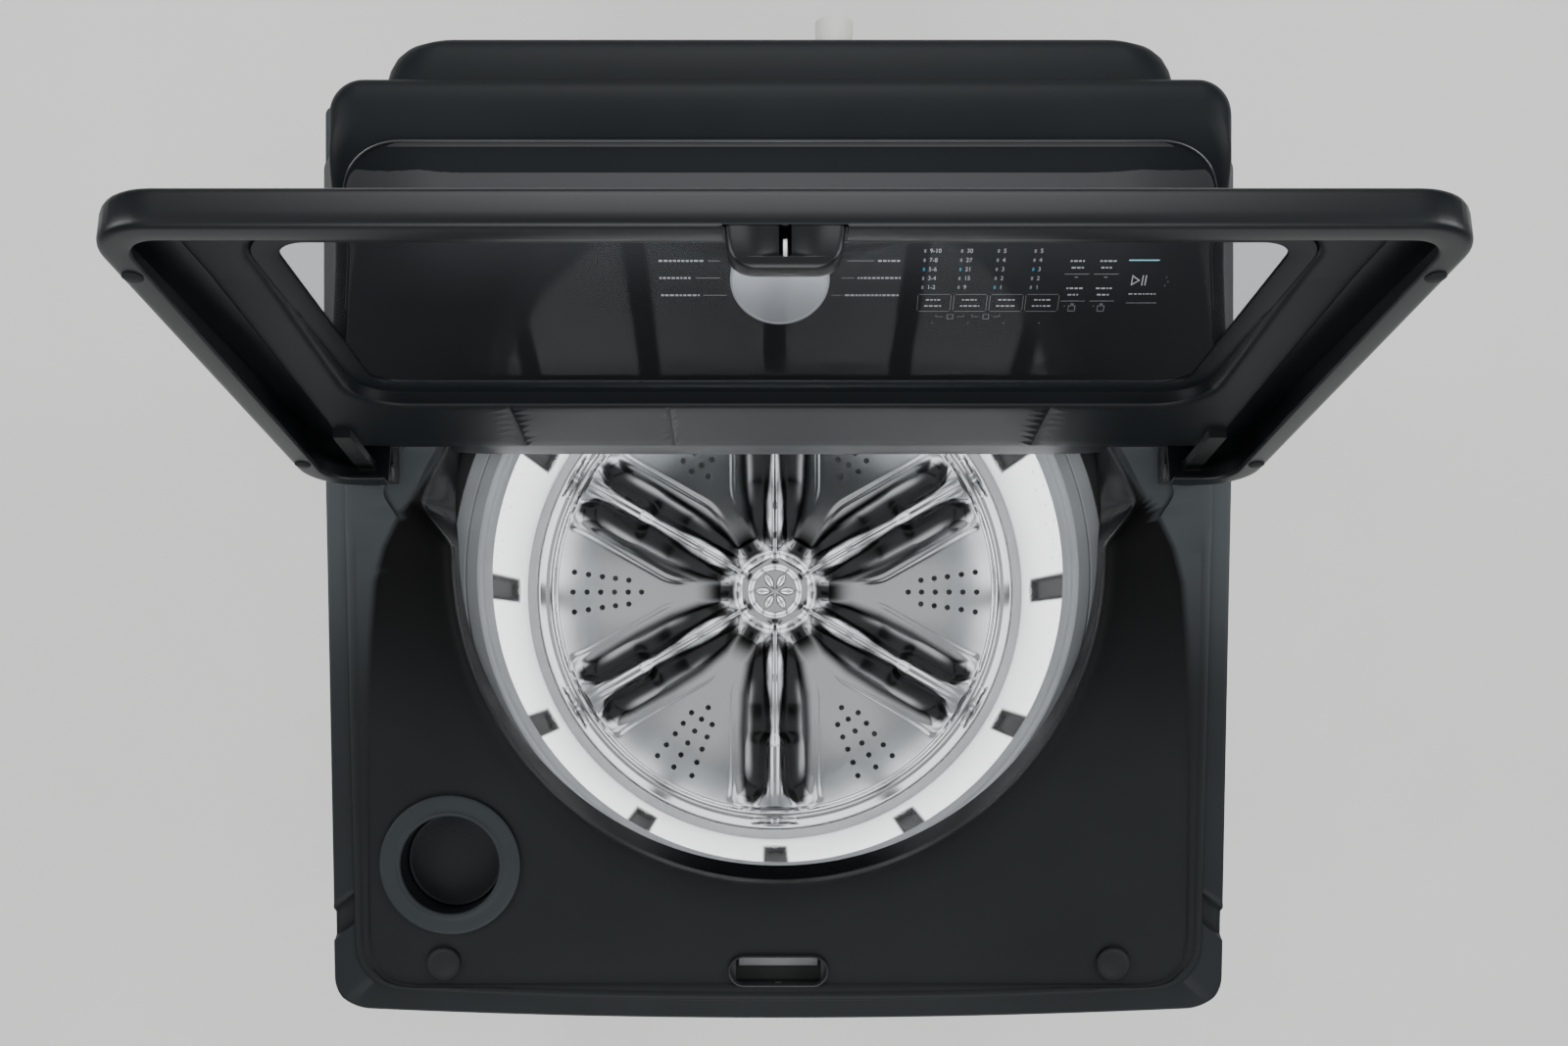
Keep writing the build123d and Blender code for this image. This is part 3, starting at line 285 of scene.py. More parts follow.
@dataclass(frozen=True)
class LampFinish:
    """A small indicator that glows.

    Args:
        name: Material name.
        color: Light colour.
        strength: Emission strength.
    """

    name: str
    color: tuple[float, float, float]
    strength: float = 1.0

    def material(self) -> bpy.types.Material:
        """Return the node material of this lamp."""
        found = bpy.data.materials.get(f"{LOOK}{self.name}")
        if found:
            return found
        made = blank(self.name)
        tree = made.node_tree
        shader = tree.nodes["Principled BSDF"]
        shader.inputs["Base Color"].default_value = (*self.color, 1.0)
        shader.inputs["Emission Color"].default_value = (*self.color, 1.0)
        shader.inputs["Emission Strength"].default_value = self.strength
        wander(tree, 400.0, 0.35, 0.5)
        return made


# Its colour is the lit tone of the rear corners; painted shade from the deck's shade attribute darkens the
# rest.
DECK_SATIN = Finish("deck_satin", (0.042, 0.048, 0.052), 0.52, scale=2600.0, bump=0.10, spread=0.04,
                    wear=0.02,
                    specular=0.10, shade=1.0)
LID_SATIN = Finish("lid_satin", (0.006, 0.0075, 0.009), 0.36, scale=2600.0, bump=0.06, spread=0.04, wear=0.02,
                   specular=0.28)
LID_INNER = Finish("lid_inner", (0.006, 0.0075, 0.009), 0.46, scale=2600.0, bump=0.08, spread=0.05,
                   specular=0.14)
LID_STRIKE = Finish("lid_strike", (0.005, 0.006, 0.007), 0.36, scale=2400.0, bump=0.06, specular=0.35)
CABINET_COAT = Finish("cabinet_coat", (0.010, 0.012, 0.0135), 0.36, metallic=0.15, scale=3200.0, bump=0.05,
                      spread=0.05, coat=0.25, wear=0.12)
CONSOLE_SATIN = Finish("console_satin", (0.0095, 0.0115, 0.013), 0.50, scale=2600.0, bump=0.10, spread=0.04,
                       wear=0.02, specular=0.12)
PANEL_GLOSS = Finish("panel_gloss", (0.040, 0.041, 0.043), 0.40, grain=Grain.SMOOTH, scale=30.0, bump=0.0,
                     spread=0.03, tint=0.02, specular=0.3)
PRINT_GREY = Finish("print_grey", (0.88, 0.89, 0.90), 0.6, scale=4000.0, bump=0.02)
PRINT_DIM = Finish("print_dim", (0.46, 0.47, 0.48), 0.6, scale=4000.0, bump=0.02)
TRIM_SATIN = Finish("trim_satin", (0.09, 0.095, 0.10), 0.35, metallic=0.8, grain=Grain.BRUSHED, bump=0.08)
KNOB_TURNED = Finish("knob_turned", (0.86, 0.87, 0.88), 0.38, metallic=0.35, grain=Grain.BRUSHED,
                     scale=1500.0,
                     bump=0.12, aniso=0.4)
CUP_GREY = Finish("cup_grey", (0.022, 0.026, 0.029), 0.55, scale=2200.0, bump=0.10, specular=0.12)
CUP_FLOOR = Finish("cup_floor", (0.008, 0.0095, 0.0105), 0.6, scale=420.0, bump=0.9, spread=0.08,
                   specular=0.15)
RUBBER = Finish("rubber", (0.010, 0.0115, 0.0125), 0.6, scale=1800.0, bump=0.2, spread=0.08, specular=0.15)
RING_GREY = Finish("ring_grey", (0.24, 0.255, 0.265), 0.42, scale=2200.0, bump=0.08, spread=0.04)
# Painted shade from the shade attribute darkens the hollows of the flutes.
STEEL_WALL = Finish("steel_wall", (0.95, 0.96, 0.97), 0.34, metallic=0.25, grain=Grain.TURNED, scale=900.0,
                    bump=0.05, spread=0.05, tint=0.02, specular=0.15, shade=1.0)
# Painted shade from the shade attribute darkens the plate's hollows, grooves and edges and the cap's lines,
# standing in for shade and dark reflections.
WASH_CHROME = Finish("wash_chrome", (0.70, 0.71, 0.72), 0.15, metallic=1.0, scale=500.0, bump=0.012,
                     spread=0.04,
                     tint=0.02, shade=1.0)
# A darker, glossier copy of the deck plastic for the faces deep in the funnel: painted shade, with a glossier
# surface.
FUNNEL_SHADE_GLOSS = Finish("funnel_shade_gloss", (0.003, 0.0035, 0.004), 0.20, grain=Grain.SMOOTH, scale=200.0,
                      bump=0.01,
                      specular=0.10)
# A darker copy of the cup plastic for the bore's wall: painted shade inside the cup.
CUP_INNER = Finish("cup_inner", (0.006, 0.007, 0.008), 0.45, scale=2200.0, bump=0.10, specular=0.2)
BEZEL_DARK = Finish("bezel_dark", (0.016, 0.018, 0.020), 0.4, scale=2200.0, bump=0.06, specular=0.3)
LATCH_GREY = Finish("latch_grey", (0.24, 0.244, 0.25), 0.5, scale=2200.0, bump=0.08)
TUB_DARK = Finish("tub_dark", (0.006, 0.007, 0.0075), 0.55, scale=1200.0, bump=0.15)
TUB_GREY = Finish("tub_grey", (0.45, 0.46, 0.47), 0.55, scale=1200.0, bump=0.15)
ZINC = Finish("zinc", (0.55, 0.56, 0.55), 0.35, metallic=1.0, scale=260.0, bump=0.15, spread=0.1, tint=0.12)
GROUND_STEEL = Finish("ground_steel", (0.56, 0.56, 0.56), 0.22, metallic=1.0, grain=Grain.TURNED, bump=0.1)
CAST_METAL = Finish("cast_metal", (0.42, 0.42, 0.41), 0.5, metallic=1.0, scale=300.0, bump=0.5, spread=0.1)
COPPER = Finish("copper_winding", (0.55, 0.22, 0.09), 0.3, metallic=1.0, grain=Grain.TURNED, scale=1200.0,
                bump=0.6)
MOTOR_COAT = Finish("motor_coat", (0.06, 0.06, 0.065), 0.45, metallic=0.4, scale=700.0, bump=0.2)
NYLON = Finish("white_nylon", (0.62, 0.62, 0.60), 0.45, scale=1600.0, bump=0.08)
BOARD = Finish("circuit_board", (0.015, 0.07, 0.03), 0.4, scale=700.0, bump=0.3, tint=0.3)
GLASS = GlassFinish("smoked_glass", (0.80, 0.81, 0.83))
LAMP_BLUE = LampFinish("lamp_blue", (0.05, 0.35, 0.55), 0.35)
LAMP_CYAN = LampFinish("lamp_cyan", (0.25, 0.75, 0.85), 1.2)


# ---------------------------------------------------------------- mesh helpers
def new_mesh(name: str, verts: np.ndarray, faces: Sequence[Sequence[int]],
             finish: Finish | GlassFinish | LampFinish,
             crease: float = 40.0) -> bpy.types.Object:
    """Make a smooth-shaded mesh object at the origin, with its faces turned outwards.

    Args:
        name: Piece name.
        verts: Points in metres.
        faces: Corner indices of each face.
        finish: Surface finish.
        crease: Edges sharper than this many degrees stay sharp.

    Returns:
        The new object.
    """
    mesh = bpy.data.meshes.new(name)
    mesh.from_pydata([tuple(v) for v in verts], [], [tuple(f) for f in faces])
    work = bmesh.new()
    work.from_mesh(mesh)
    bmesh.ops.remove_doubles(work, verts=work.verts, dist=1e-6)
    bmesh.ops.recalc_face_normals(work, faces=work.faces)
    work.to_mesh(mesh)
    work.free()
    mesh.shade_smooth()
    mesh.set_sharp_from_angle(angle=math.radians(crease))
    obj = bpy.data.objects.new(name, mesh)
    bpy.context.scene.collection.objects.link(obj)
    obj.data.materials.append(finish.material())
    return obj


def paint_shade(obj: bpy.types.Object, amount: Callable[[np.ndarray], np.ndarray]) -> None:
    """Store how dark each point is in the mesh's shade attribute.

    Args:
        obj: The piece.
        amount: Darkness, nought to one, from the points in millimetres.
    """
    mesh = obj.data
    flat = np.zeros(len(mesh.vertices) * 3)
    mesh.vertices.foreach_get("co", flat)
    layer = mesh.attributes.new("shade", "FLOAT", "POINT")
    layer.data.foreach_set("value", np.clip(amount(flat.reshape(-1, 3) / MM), 0, 1))


def loft(rings: Sequence[Ring], loop: bool = False, cap_first: bool = False,
         cap_last: bool = False) -> tuple[np.ndarray, list[tuple[int, ...]]]:
    """Join closed rings of equal length with quads.

    Args:
        rings: Rings of points, in order.
        loop: Join the last ring back to the first.
        cap_first: Close the first ring with a fan.
        cap_last: Close the last ring with a fan.

    Returns:
        Points and faces.
    """
    count = len(rings[0])
    verts = np.concatenate(rings)
    faces: list[tuple[int, ...]] = []
    steps = len(rings) if loop else len(rings) - 1
    step = np.arange(count)
    nxt = (step + 1) % count
    for i in range(steps):
        a, b = i * count, ((i + 1) % len(rings)) * count
        faces += list(zip(a + step, a + nxt, b + nxt, b + step))
    for wanted, base, ring in ((cap_first, 0, rings[0]), (cap_last, (len(rings) - 1) * count, rings[-1])):
        if wanted:
            hub = len(verts)
            verts = np.concatenate([verts, ring.mean(axis=0, keepdims=True)])
            faces += [(base + j, base + (j + 1) % count, hub) for j in range(count)]
    return verts, [tuple(int(k) for k in f) for f in faces]


def polar(outline: np.ndarray, angles: np.ndarray) -> np.ndarray:
    """Radius of a closed outline around the origin at each angle.

    Args:
        outline: Closed outline, points in order.
        angles: Angles in radians, from -pi to pi.

    Returns:
        The radius at each angle.
    """
    start, end = outline, np.roll(outline, -1, axis=0)
    d = np.stack([np.cos(angles), np.sin(angles)], axis=1)
    edge = end - start
    cross = d[:, 0:1] * edge[None, :, 1] - d[:, 1:2] * edge[None, :, 0]
    safe = np.where(np.abs(cross) < 1e-12, 1e-12, cross)
    t = (start[None, :, 0] * edge[None, :, 1] - start[None, :, 1] * edge[None, :, 0]) / safe
    s = (start[None, :, 0] * d[:, 1:2] - start[None, :, 1] * d[:, 0:1]) / safe
    good = (t > 0) & (s >= -1e-6) & (s <= 1 + 1e-6) & (np.abs(cross) > 1e-12)
    return np.where(good, t, 0).max(axis=1)


def soften(radius: np.ndarray, angles: np.ndarray, width: float) -> np.ndarray:
    """Smooth a radius function over a small angle.

    Args:
        radius: Radius at each angle.
        angles: The angles, in order round a full turn.
        width: Standard deviation, in radians.

    Returns:
        The smoothed radius.
    """
    delta = (angles[:, None] - angles[None, :] + math.pi) % (2 * math.pi) - math.pi
    gaps = np.abs((np.roll(angles, -1) - np.roll(angles, 1) + math.pi) % (2 * math.pi) - math.pi)
    weight = np.exp(-0.5 * (delta / width) ** 2) * gaps[None, :]
    return (weight * radius[None, :]).sum(axis=1) / weight.sum(axis=1)


def box_outline(half_x: float, y0: float, y1: float, radius: float, bow: float = 0.0, steps: int = 10,
                rear_radius: float | None = None) -> np.ndarray:
    """Rounded rectangle whose low-y side may bow out.

    Args:
        half_x: Half width.
        y0: Lowest y, at the middle.
        y1: Highest y.
        radius: Front corner radius.
        bow: How far the front's ends sit behind its middle.
        steps: Points on each corner.
        rear_radius: Rear corner radius, if it differs.

    Returns:
        Points in order.
    """
    back = radius if rear_radius is None else rear_radius
    points: list[tuple[float, float]] = []
    for cx, cy, r, a0 in ((half_x - back, y1 - back, back, 0.0), (back - half_x, y1 - back, back, 90.0),
                          (radius - half_x, y0 + bow + radius, radius, 180.0)):
        for k in range(steps + 1):
            a = math.radians(a0 + 90.0 * k / steps)
            points.append((cx + r * math.cos(a), cy + r * math.sin(a)))
    inner = half_x - radius
    for k in range(1, 24):
        x = -inner + 2 * inner * k / 24
        points.append((x, y0 + bow * (x / inner) ** 2))
    for k in range(steps + 1):
        a = math.radians(270.0 + 90.0 * k / steps)
        points.append((half_x - radius + radius * math.cos(a), y0 + bow + radius + radius * math.sin(a)))
    return np.array(points)


def spin(profile: Sequence[tuple[float, float]], centre: Vector, count: int = 192, closed: bool = True,
         name: str = "", finish: Finish | None = None, crease: float = 40.0) -> bpy.types.Object:
    """Turn a profile of (radius, height) in millimetres about a vertical axis.

    Args:
        profile: Points of the section, in order.
        centre: Axis foot, in metres.
        count: Steps round the turn.
        closed: The profile is a closed section that stays off the axis.
        name: Piece name.
        finish: Surface finish.
        crease: Sharp edge angle in degrees.

    Returns:
        The new object.
    """
    a = np.linspace(0, 2 * math.pi, count, endpoint=False)
    rings = []
    for r, z in profile:
        r = max(r, 0.01)
        rings.append(np.stack([centre.x + r * MM * np.cos(a), centre.y + r * MM * np.sin(a),
                               np.full(count, centre.z + z * MM)], axis=1))
    verts, faces = loft(rings, loop=closed, cap_first=not closed and profile[0][0] <= 0.01,
                        cap_last=not closed and profile[-1][0] <= 0.01)
    return new_mesh(name, verts, faces, finish, crease)


def moved(x: float, y: float, z: float) -> Matrix:
    """Return a move given in millimetres."""
    return Matrix.Translation(Vector((x, y, z)) * MM)


def rounded_block(name: str, size: Vector, at: Matrix, radius: float, finish: Finish) -> bpy.types.Object:
    """Block with rounded edges, moved to its place in the mesh.

    Args:
        name: Piece name.
        size: Size along its own axes, in metres.
        at: Where its centre sits, with its turn.
        radius: Edge radius.
        finish: Surface finish.

    Returns:
        The new object.
    """
    work = bmesh.new()
    bmesh.ops.create_cube(work, size=1.0)
    for v in work.verts:
        v.co = Vector((v.co.x * size.x, v.co.y * size.y, v.co.z * size.z))
    bmesh.ops.bevel(work, geom=list(work.edges), offset=radius, segments=EDGE_STEPS, profile=0.5,
                    affect="EDGES",
                    clamp_overlap=True)
    bmesh.ops.transform(work, matrix=at, verts=work.verts)
    mesh = bpy.data.meshes.new(name)
    bmesh.ops.recalc_face_normals(work, faces=work.faces)
    work.to_mesh(mesh)
    work.free()
    mesh.shade_smooth()
    mesh.set_sharp_from_angle(angle=math.radians(45))
    obj = bpy.data.objects.new(name, mesh)
    bpy.context.scene.collection.objects.link(obj)
    mesh.materials.append(finish.material())
    return obj


def block(name: str, size: Sequence[float], spot: Sequence[float], radius: float,
          finish: Finish) -> bpy.types.Object:
    """Level rounded block given in millimetres.

    Args:
        name: Piece name.
        size: Size along each axis.
        spot: Place of its centre.
        radius: Edge radius.
        finish: Surface finish.

    Returns:
        The new object.
    """
    return rounded_block(name, Vector(size) * MM, moved(*spot), radius * MM, finish)


def cut(obj: bpy.types.Object, tool: bpy.types.Object) -> None:
    """Subtract a tool from an object and remove the tool.

    Args:
        obj: Object to cut.
        tool: Closed cutter.
    """
    modifier = obj.modifiers.new("cut", "BOOLEAN")
    modifier.object = tool
    modifier.operation = "DIFFERENCE"
    modifier.solver = "EXACT"
    settle(obj)
    bpy.data.objects.remove(tool)


def settle(obj: bpy.types.Object) -> None:
    """Turn an object's modifiers into its plain mesh.

    Args:
        obj: The object to settle.
    """
    bpy.context.view_layer.update()
    graph = bpy.context.evaluated_depsgraph_get()
    mesh = bpy.data.meshes.new_from_object(obj.evaluated_get(graph))
    old = obj.data
    obj.modifiers.clear()
    obj.data = mesh
    bpy.data.meshes.remove(old)


def join(name: str, objects: Sequence[bpy.types.Object]) -> bpy.types.Object:
    """Join objects with one finish each into a single mesh.

    Args:
        name: Name of the result.
        objects: Objects at the origin.

    Returns:
        The joined object.
    """
    work = bmesh.new()
    slots: list[bpy.types.Material] = []
    for obj in objects:
        start = len(work.faces)
        work.from_mesh(obj.data)
        work.faces.ensure_lookup_table()
        material = obj.data.materials[0]
        if material not in slots:
            slots.append(material)
        for f in work.faces[start:]:
            f.material_index = slots.index(material)
    mesh = bpy.data.meshes.new(name)
    work.to_mesh(mesh)
    work.free()
    for material in slots:
        mesh.materials.append(material)
    mesh.shade_smooth()
    mesh.set_sharp_from_angle(angle=math.radians(40))
    made = bpy.data.objects.new(name, mesh)
    bpy.context.scene.collection.objects.link(made)
    for obj in objects:
        bpy.data.objects.remove(obj)
    return made


# ---------------------------------------------------------------- shared places
@dataclass(frozen=True)
class Layout:
    """Places that several sub-assemblies share, read from the frame, in millimetres.

    Args:
        tub_y: Tub axis.
        deck_z: Deck height at the hinge.
        hinge_y: Lid hinge axis.
        hinge_z: Lid hinge axis.
        half_w: Half the cabinet's width.
        front_y: Front of the cabinet.
        back_y: Back of the cabinet.
        cover_z: Lower edge of the top cover.
        slope: Fall of the deck per millimetre.
    """

    tub_y: float
    deck_z: float
    hinge_y: float
    hinge_z: float
    half_w: float
    front_y: float
    back_y: float
    cover_z: float
    slope: float = math.tan(math.radians(3.7))

    @staticmethod
    def read() -> "Layout":
        """Read the layout from the frame's nodes."""
        low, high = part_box("top_cover")
        ring_low, ring_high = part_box("balance_ring")
        pin_low, pin_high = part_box("hinge_pins")
        return Layout(
            tub_y=(ring_low.y + ring_high.y) / 2 / MM,
            deck_z=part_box("console_rear_cover")[0].z / MM,
            hinge_y=(pin_low.y + pin_high.y) / 2 / MM,
            hinge_z=(pin_low.z + pin_high.z) / 2 / MM,
            half_w=high.x / MM,
            front_y=low.y / MM,
            back_y=high.y / MM,
            cover_z=low.z / MM,
        )

    def deck(self, y: np.ndarray) -> np.ndarray:
        """Deck height at world y, with the crease at the hinge eased.

        Args:
            y: World y in millimetres.

        Returns:
            Heights in millimetres.
        """
        run = self.hinge_y - y
        eased = np.where(run > 20, run, np.where(run > -20, (run + 20) ** 2 / 80, 0.0))
        return self.deck_z - eased * self.slope

    def tub(self, z: float = 0.0) -> Vector:
        """Tub axis at a height in millimetres, as a point in metres."""
        return Vector((0.0, self.tub_y * MM, z * MM))


PLACE = Layout.read()


@dataclass(frozen=True)
class Piece:
    """Where a finished piece belongs in the frame.

    Args:
        body: Body it moves with.
        slot: Material slot of the record; not used.
        nodes: Frame nodes it stands for.
    """

    body: str
    slot: str
    nodes: tuple[str, ...] = ()

    def place(self, obj: bpy.types.Object) -> bpy.types.Object:
        """Tie the object to its body, hide the frame nodes it stands for, and return it.

        Args:
            obj: The finished piece.

        Returns:
            The same object.
        """
        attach(obj, self.body)
        if self.nodes:
            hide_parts(*self.nodes)
        return obj


def stacked(outlines: Sequence[np.ndarray], step: float = 0.12) -> list[np.ndarray]:
    """Keep each radius outside the one before it, so that rings never cross.

    Args:
        outlines: Radius of each ring, from the inside out.
        step: Least distance between rings, in millimetres.

    Returns:
        The radii, moved out where they would cross.
    """
    kept = [outlines[0]]
    for radius in outlines[1:]:
        kept.append(np.maximum(radius, kept[-1] + step))
    return kept


# ---------------------------------------------------------------- deck
@dataclass
class Deck:
    """Sloping top cover with its recess, funnel, rim bead and front fascia.

    Args:
        bead_in: Inner line of the rim bead, in from the cabinet's centre.
        bead_front: The same at the front, from the tub axis.
        bead_w: Width of the bead.
        bead_h: Height of the bead.
        recess: Depth of the recessed field.
        lip_drop: How far the rolled lip falls before the funnel's wall.
        fall_start: Where the fascia starts to fall, from the tub axis.
        fall: Steepness of the fascia.
        wall: Thickness of the moulding.
    """

    bead_in: float = 320.0
    bead_front: float = -323.0
    bead_w: float = 7.5
    bead_h: float = 1.3
    recess: float = 2.4
    lip_drop: float = 16.0
    fall_start: float = -326.0
    fall: float = 0.66
    wall: float = 3.0
    angles: np.ndarray = field(default_factory=lambda: np.array([]))

    def build(self) -> None:
        """Build the deck, cut its seats and place it."""
        self.angles = self._angles()
        deck = self._shell()
        cut(deck, self._cup_hole())
        cut(deck, self._slot_hole())
        # Faces deep in the funnel take the darker, glossier copy of the deck plastic: painted shade there.
        gloss = len(deck.data.materials)
        deck.data.materials.append(FUNNEL_SHADE_GLOSS.material())
        for face in deck.data.polygons:
            c = face.center
            depth = PLACE.deck(np.array(c.y / MM)) - c.z / MM
            reach = math.hypot(c.x / MM, c.y / MM - PLACE.tub_y)
            if depth > 11.0 and reach < 283.0 and c.y / MM - PLACE.tub_y < 106.0:
                face.material_index = gloss
        deck.data.set_sharp_from_angle(angle=math.radians(35))
        arch = polar(self._arch(), self.angles)
        bead = polar(box_outline(self.bead_in, self.bead_front, 345.0, 34.0, 7.0), self.angles)

        def deck_light_and_shade(points: np.ndarray) -> np.ndarray:
            """Return the deck's painted light and shade: painted light on the pale rear corners, painted
            shade over the recess towards its rear and sides, a little lighter beyond the bead.
            """
            x, y = points[:, 0], points[:, 1] - PLACE.tub_y
            r, turn = np.hypot(x, y), np.arctan2(y, x)
            inside = 1 - smooth(r - np.interp(turn, self.angles, arch), -3.0, 2.0)
            beyond = smooth(r - np.interp(turn, self.angles, bead), 0.0, 8.0)
            corner = (1 - inside) * smooth(y, -110.0, 40.0)
            side = inside * smooth(y, -190.0, 20.0) * (1 - smooth(r, 300.0, 345.0) * 0.4)
            return 0.78 * (1 - 0.92 * corner) - 0.10 * beyond + 0.22 * side

        # Paint the light and shade into the deck's shade attribute.
        paint_shade(deck, deck_light_and_shade)
        Piece("cabinet", "black_plastic", ("top_cover",)).place(deck)
        LOG.info("deck built")

    def _angles(self) -> np.ndarray:
        """Return the sweep angles, denser at the corners and the side notches."""
        base = np.linspace(-180.0, 180.0, 480, endpoint=False)
        dense = [np.arange(a, b, 0.2) for a, b in
                 ((-49, -34), (-146, -131), (14, 30), (150, 166), (40, 50), (130, 140))]
        return np.radians(np.unique(np.round(np.concatenate([base, *dense]), 3)))

    def _opening(self, radius: float, centre: float, flare: float) -> np.ndarray:
        """Outline of the tub opening about the tub axis.

        Args:
            radius: Front arc radius.
            centre: Front arc centre.
            flare: How far the rear corners open out.

        Returns:
            Points in order.
        """
        rise = 21.0 - centre
        half = math.sqrt(radius * radius - rise ** 2)
        start = math.asin(rise / radius)
        arc = np.linspace(math.pi - start, 2 * math.pi + start, 90)
        points = [(radius * math.cos(a), centre + radius * math.sin(a)) for a in arc]
        corner = [(half + flare, 53.0), (half + flare * 0.6, 75.0), (246.0, 104.0)]
        return np.array(points + corner + [(-x, y) for x, y in reversed(corner)])

    def _arch(self) -> np.ndarray:
        """Outline of the recessed field: square at the front, drawn in to the rear corners."""
        side = [(315, -283), (314.5, -180), (313.5, -100), (311, -50), (307, -8), (300, 18), (290, 38),
                (274, 63),
                (258, 88), (250, 108)]
        front = [(285, -317.5), (300, -314), (311, -303)]
        right = front + side
        return np.array(right + [(-x, y) for x, y in reversed(right)])

    def _height(self, x: np.ndarray, y: np.ndarray, drop: np.ndarray | float) -> np.ndarray:
        """Height of a surface point.

        Args:
            x: Across, in millimetres.
            y: From the tub axis.
            drop: Depth below the deck.

        Returns:
            World heights in millimetres.
        """
        run = self.fall_start - y
        fascia = np.where(run > 4, (run - 2) * self.fall, np.where(run > 0, run * run / 8 * self.fall, 0.0))
        return PLACE.deck(y + PLACE.tub_y) - drop - fascia

    def _ring(self, radius: np.ndarray, drop: np.ndarray | float = 0.0, z: float | None = None) -> Ring:
        """Ring at a radius.

        Args:
            radius: Radius at each angle.
            drop: Depth below the deck.
            z: Fixed world height that overrides drop.

        Returns:
            Points in metres.
        """
        x = radius * np.cos(self.angles)
        y = radius * np.sin(self.angles)
        height = self._height(x, y, drop) if z is None else np.full(len(x), z)
        height = np.maximum(height, PLACE.cover_z)
        return np.stack([x, y + PLACE.tub_y, height], axis=1) * MM

    def _shell(self) -> bpy.types.Object:
        """Return the deck as one closed shell."""
        a = self.angles
        lip = soften(polar(self._opening(248.0, 9.3, 24.0), a), a, 0.010)
        throat = soften(polar(self._opening(251.0, 22.0, 3.0), a), a, 0.010)
        arch = soften(polar(self._arch(), a), a, 0.008)
        bead = polar(box_outline(self.bead_in, self.bead_front, 345.0, 34.0, 7.0), a)
        outer = polar(box_outline(PLACE.half_w, PLACE.front_y - PLACE.tub_y, PLACE.back_y - PLACE.tub_y, 27.0,
                                  9.0,
                                  rear_radius=6.0), a)
        y_of = np.sin(a)
        sides = np.clip((40.0 - bead * y_of) / 30.0, 0.0, 1.0)
        bead_h = self.bead_h * sides
        rear_flat = np.clip((110.0 - lip * y_of) / 12.0, 0.0, 1.0)
        roll = [(0.0, self.lip_drop), (0.6, 13.0), (1.8, 10.5), (3.6, 8.3), (6.0, 6.4), (9.5, 4.9),
                (14.0, 3.8),
                (20.0, 3.1), (28.0, self.recess + 0.2)]
        inner = [lip + d for d, _ in roll] + [arch - 10, arch - 3.0, arch - 1.0, arch, arch + 1.0, arch + 2.4,
                                              bead,
                                              bead + 1.0, bead + 2.6, bead + self.bead_w - 2.6,
                                              bead + self.bead_w - 1.0, bead + self.bead_w,
                                              bead + self.bead_w + 0.8]
        edge = [outer - 3.4, outer - 1.6, outer - 0.5, outer]
        radii = stacked(inner + edge, 0.05)
        radii = [np.minimum(r, outer) for r in radii]
        notch = self._notch(outer)
        drops: list[np.ndarray | float] = [d * rear_flat + 3.0 * (1 - rear_flat) for _, d in roll]
        drops += [self.recess, self.recess, self.recess - 0.3, self.recess * 0.5, 0.3, 0.0, 0.0,
                  -bead_h * 0.65, -bead_h, -bead_h, -bead_h * 0.65, 0.2, 1.0 + notch,
                  1.2 + notch, 1.5 + notch, 2.4 + notch, 4.2 + notch]
        rings = [self._ring(r, d) for r, d in zip(radii, drops)]
        low = PLACE.deck_z - 47.0
        wall_rings = []
        for f in (0.0, 0.03, 0.2, 0.4, 0.6, 0.8, 0.94):
            r = throat * (1 - f) + lip * f
            top = self._height(lip * np.cos(a), lip * np.sin(a), drops[0])
            z = low * (1 - f) + top * f
            wall_rings.append(np.stack([r * np.cos(a), r * np.sin(a) + PLACE.tub_y, z], axis=1) * MM)
        cover = PLACE.cover_z
        outside = [self._ring(outer, z=cover + 6.0), self._ring(outer, z=cover + 1.0),
                   self._ring(outer - 0.6, z=cover),
                   self._ring(outer - 2.4, z=cover), self._ring(outer - self.wall, z=cover + 1.0),
                   self._ring(outer - self.wall, 9.0), self._ring(outer - self.wall - 2.0, 7.0)]
        under = [self._ring(np.minimum(bead, outer - 6.0), 5.4),
                 self._ring(np.minimum(arch, outer - 8.0), 6.0),
                 self._ring(np.minimum(np.maximum(lip + 20.0, throat + 8.0), outer - 12.0), 7.2),
                 self._ring(np.minimum(lip + 6.0, outer - 14.0), 10.0 * rear_flat + 7.0),
                 self._ring(np.minimum(lip + 3.2, outer - 16.0), 22.0 * rear_flat + 8.0)]
        bottom = [np.stack([(throat + g) * np.cos(a), (throat + g) * np.sin(a) + PLACE.tub_y,
                            np.full(len(a), low + h)], axis=1) * MM for g,
                            h in ((3.0, 1.0), (2.2, 0.0), (0.6, 0.0))]
        verts, faces = loft(wall_rings + rings + outside + under + bottom, loop=True)
        return new_mesh("deck", verts, faces, DECK_SATIN, 35)

    def _notch(self, outer: np.ndarray) -> np.ndarray:
        """Depth of the ledge's side notches at each angle.

        Args:
            outer: Outer edge radius.

        Returns:
            Depths in millimetres.
        """
        y = outer * np.sin(self.angles)
        x = outer * np.cos(self.angles)
        inside = np.clip((y + 283.0) / 2.0, 0, 1) * np.clip((-258.0 - y) / 4.0, 0, 1)
        ledge = np.clip((y + 258.0) / 4.0, 0, 1) * 1.4
        return np.where(np.abs(x) > 300, inside * 7.0 + ledge, 0.0)

    def _cup_hole(self) -> bpy.types.Object:
        """Return the cutter of the bleach cup's hole."""
        low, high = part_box("bleach_cup")
        centre = (low + high) / 2
        return spin([(0, 0), (41.0, 0), (41.0, 60), (0, 60)],
                    Vector((centre.x, centre.y, PLACE.deck_z * MM - 0.05)),
                    96, closed=False, name="cutter", finish=DECK_SATIN)

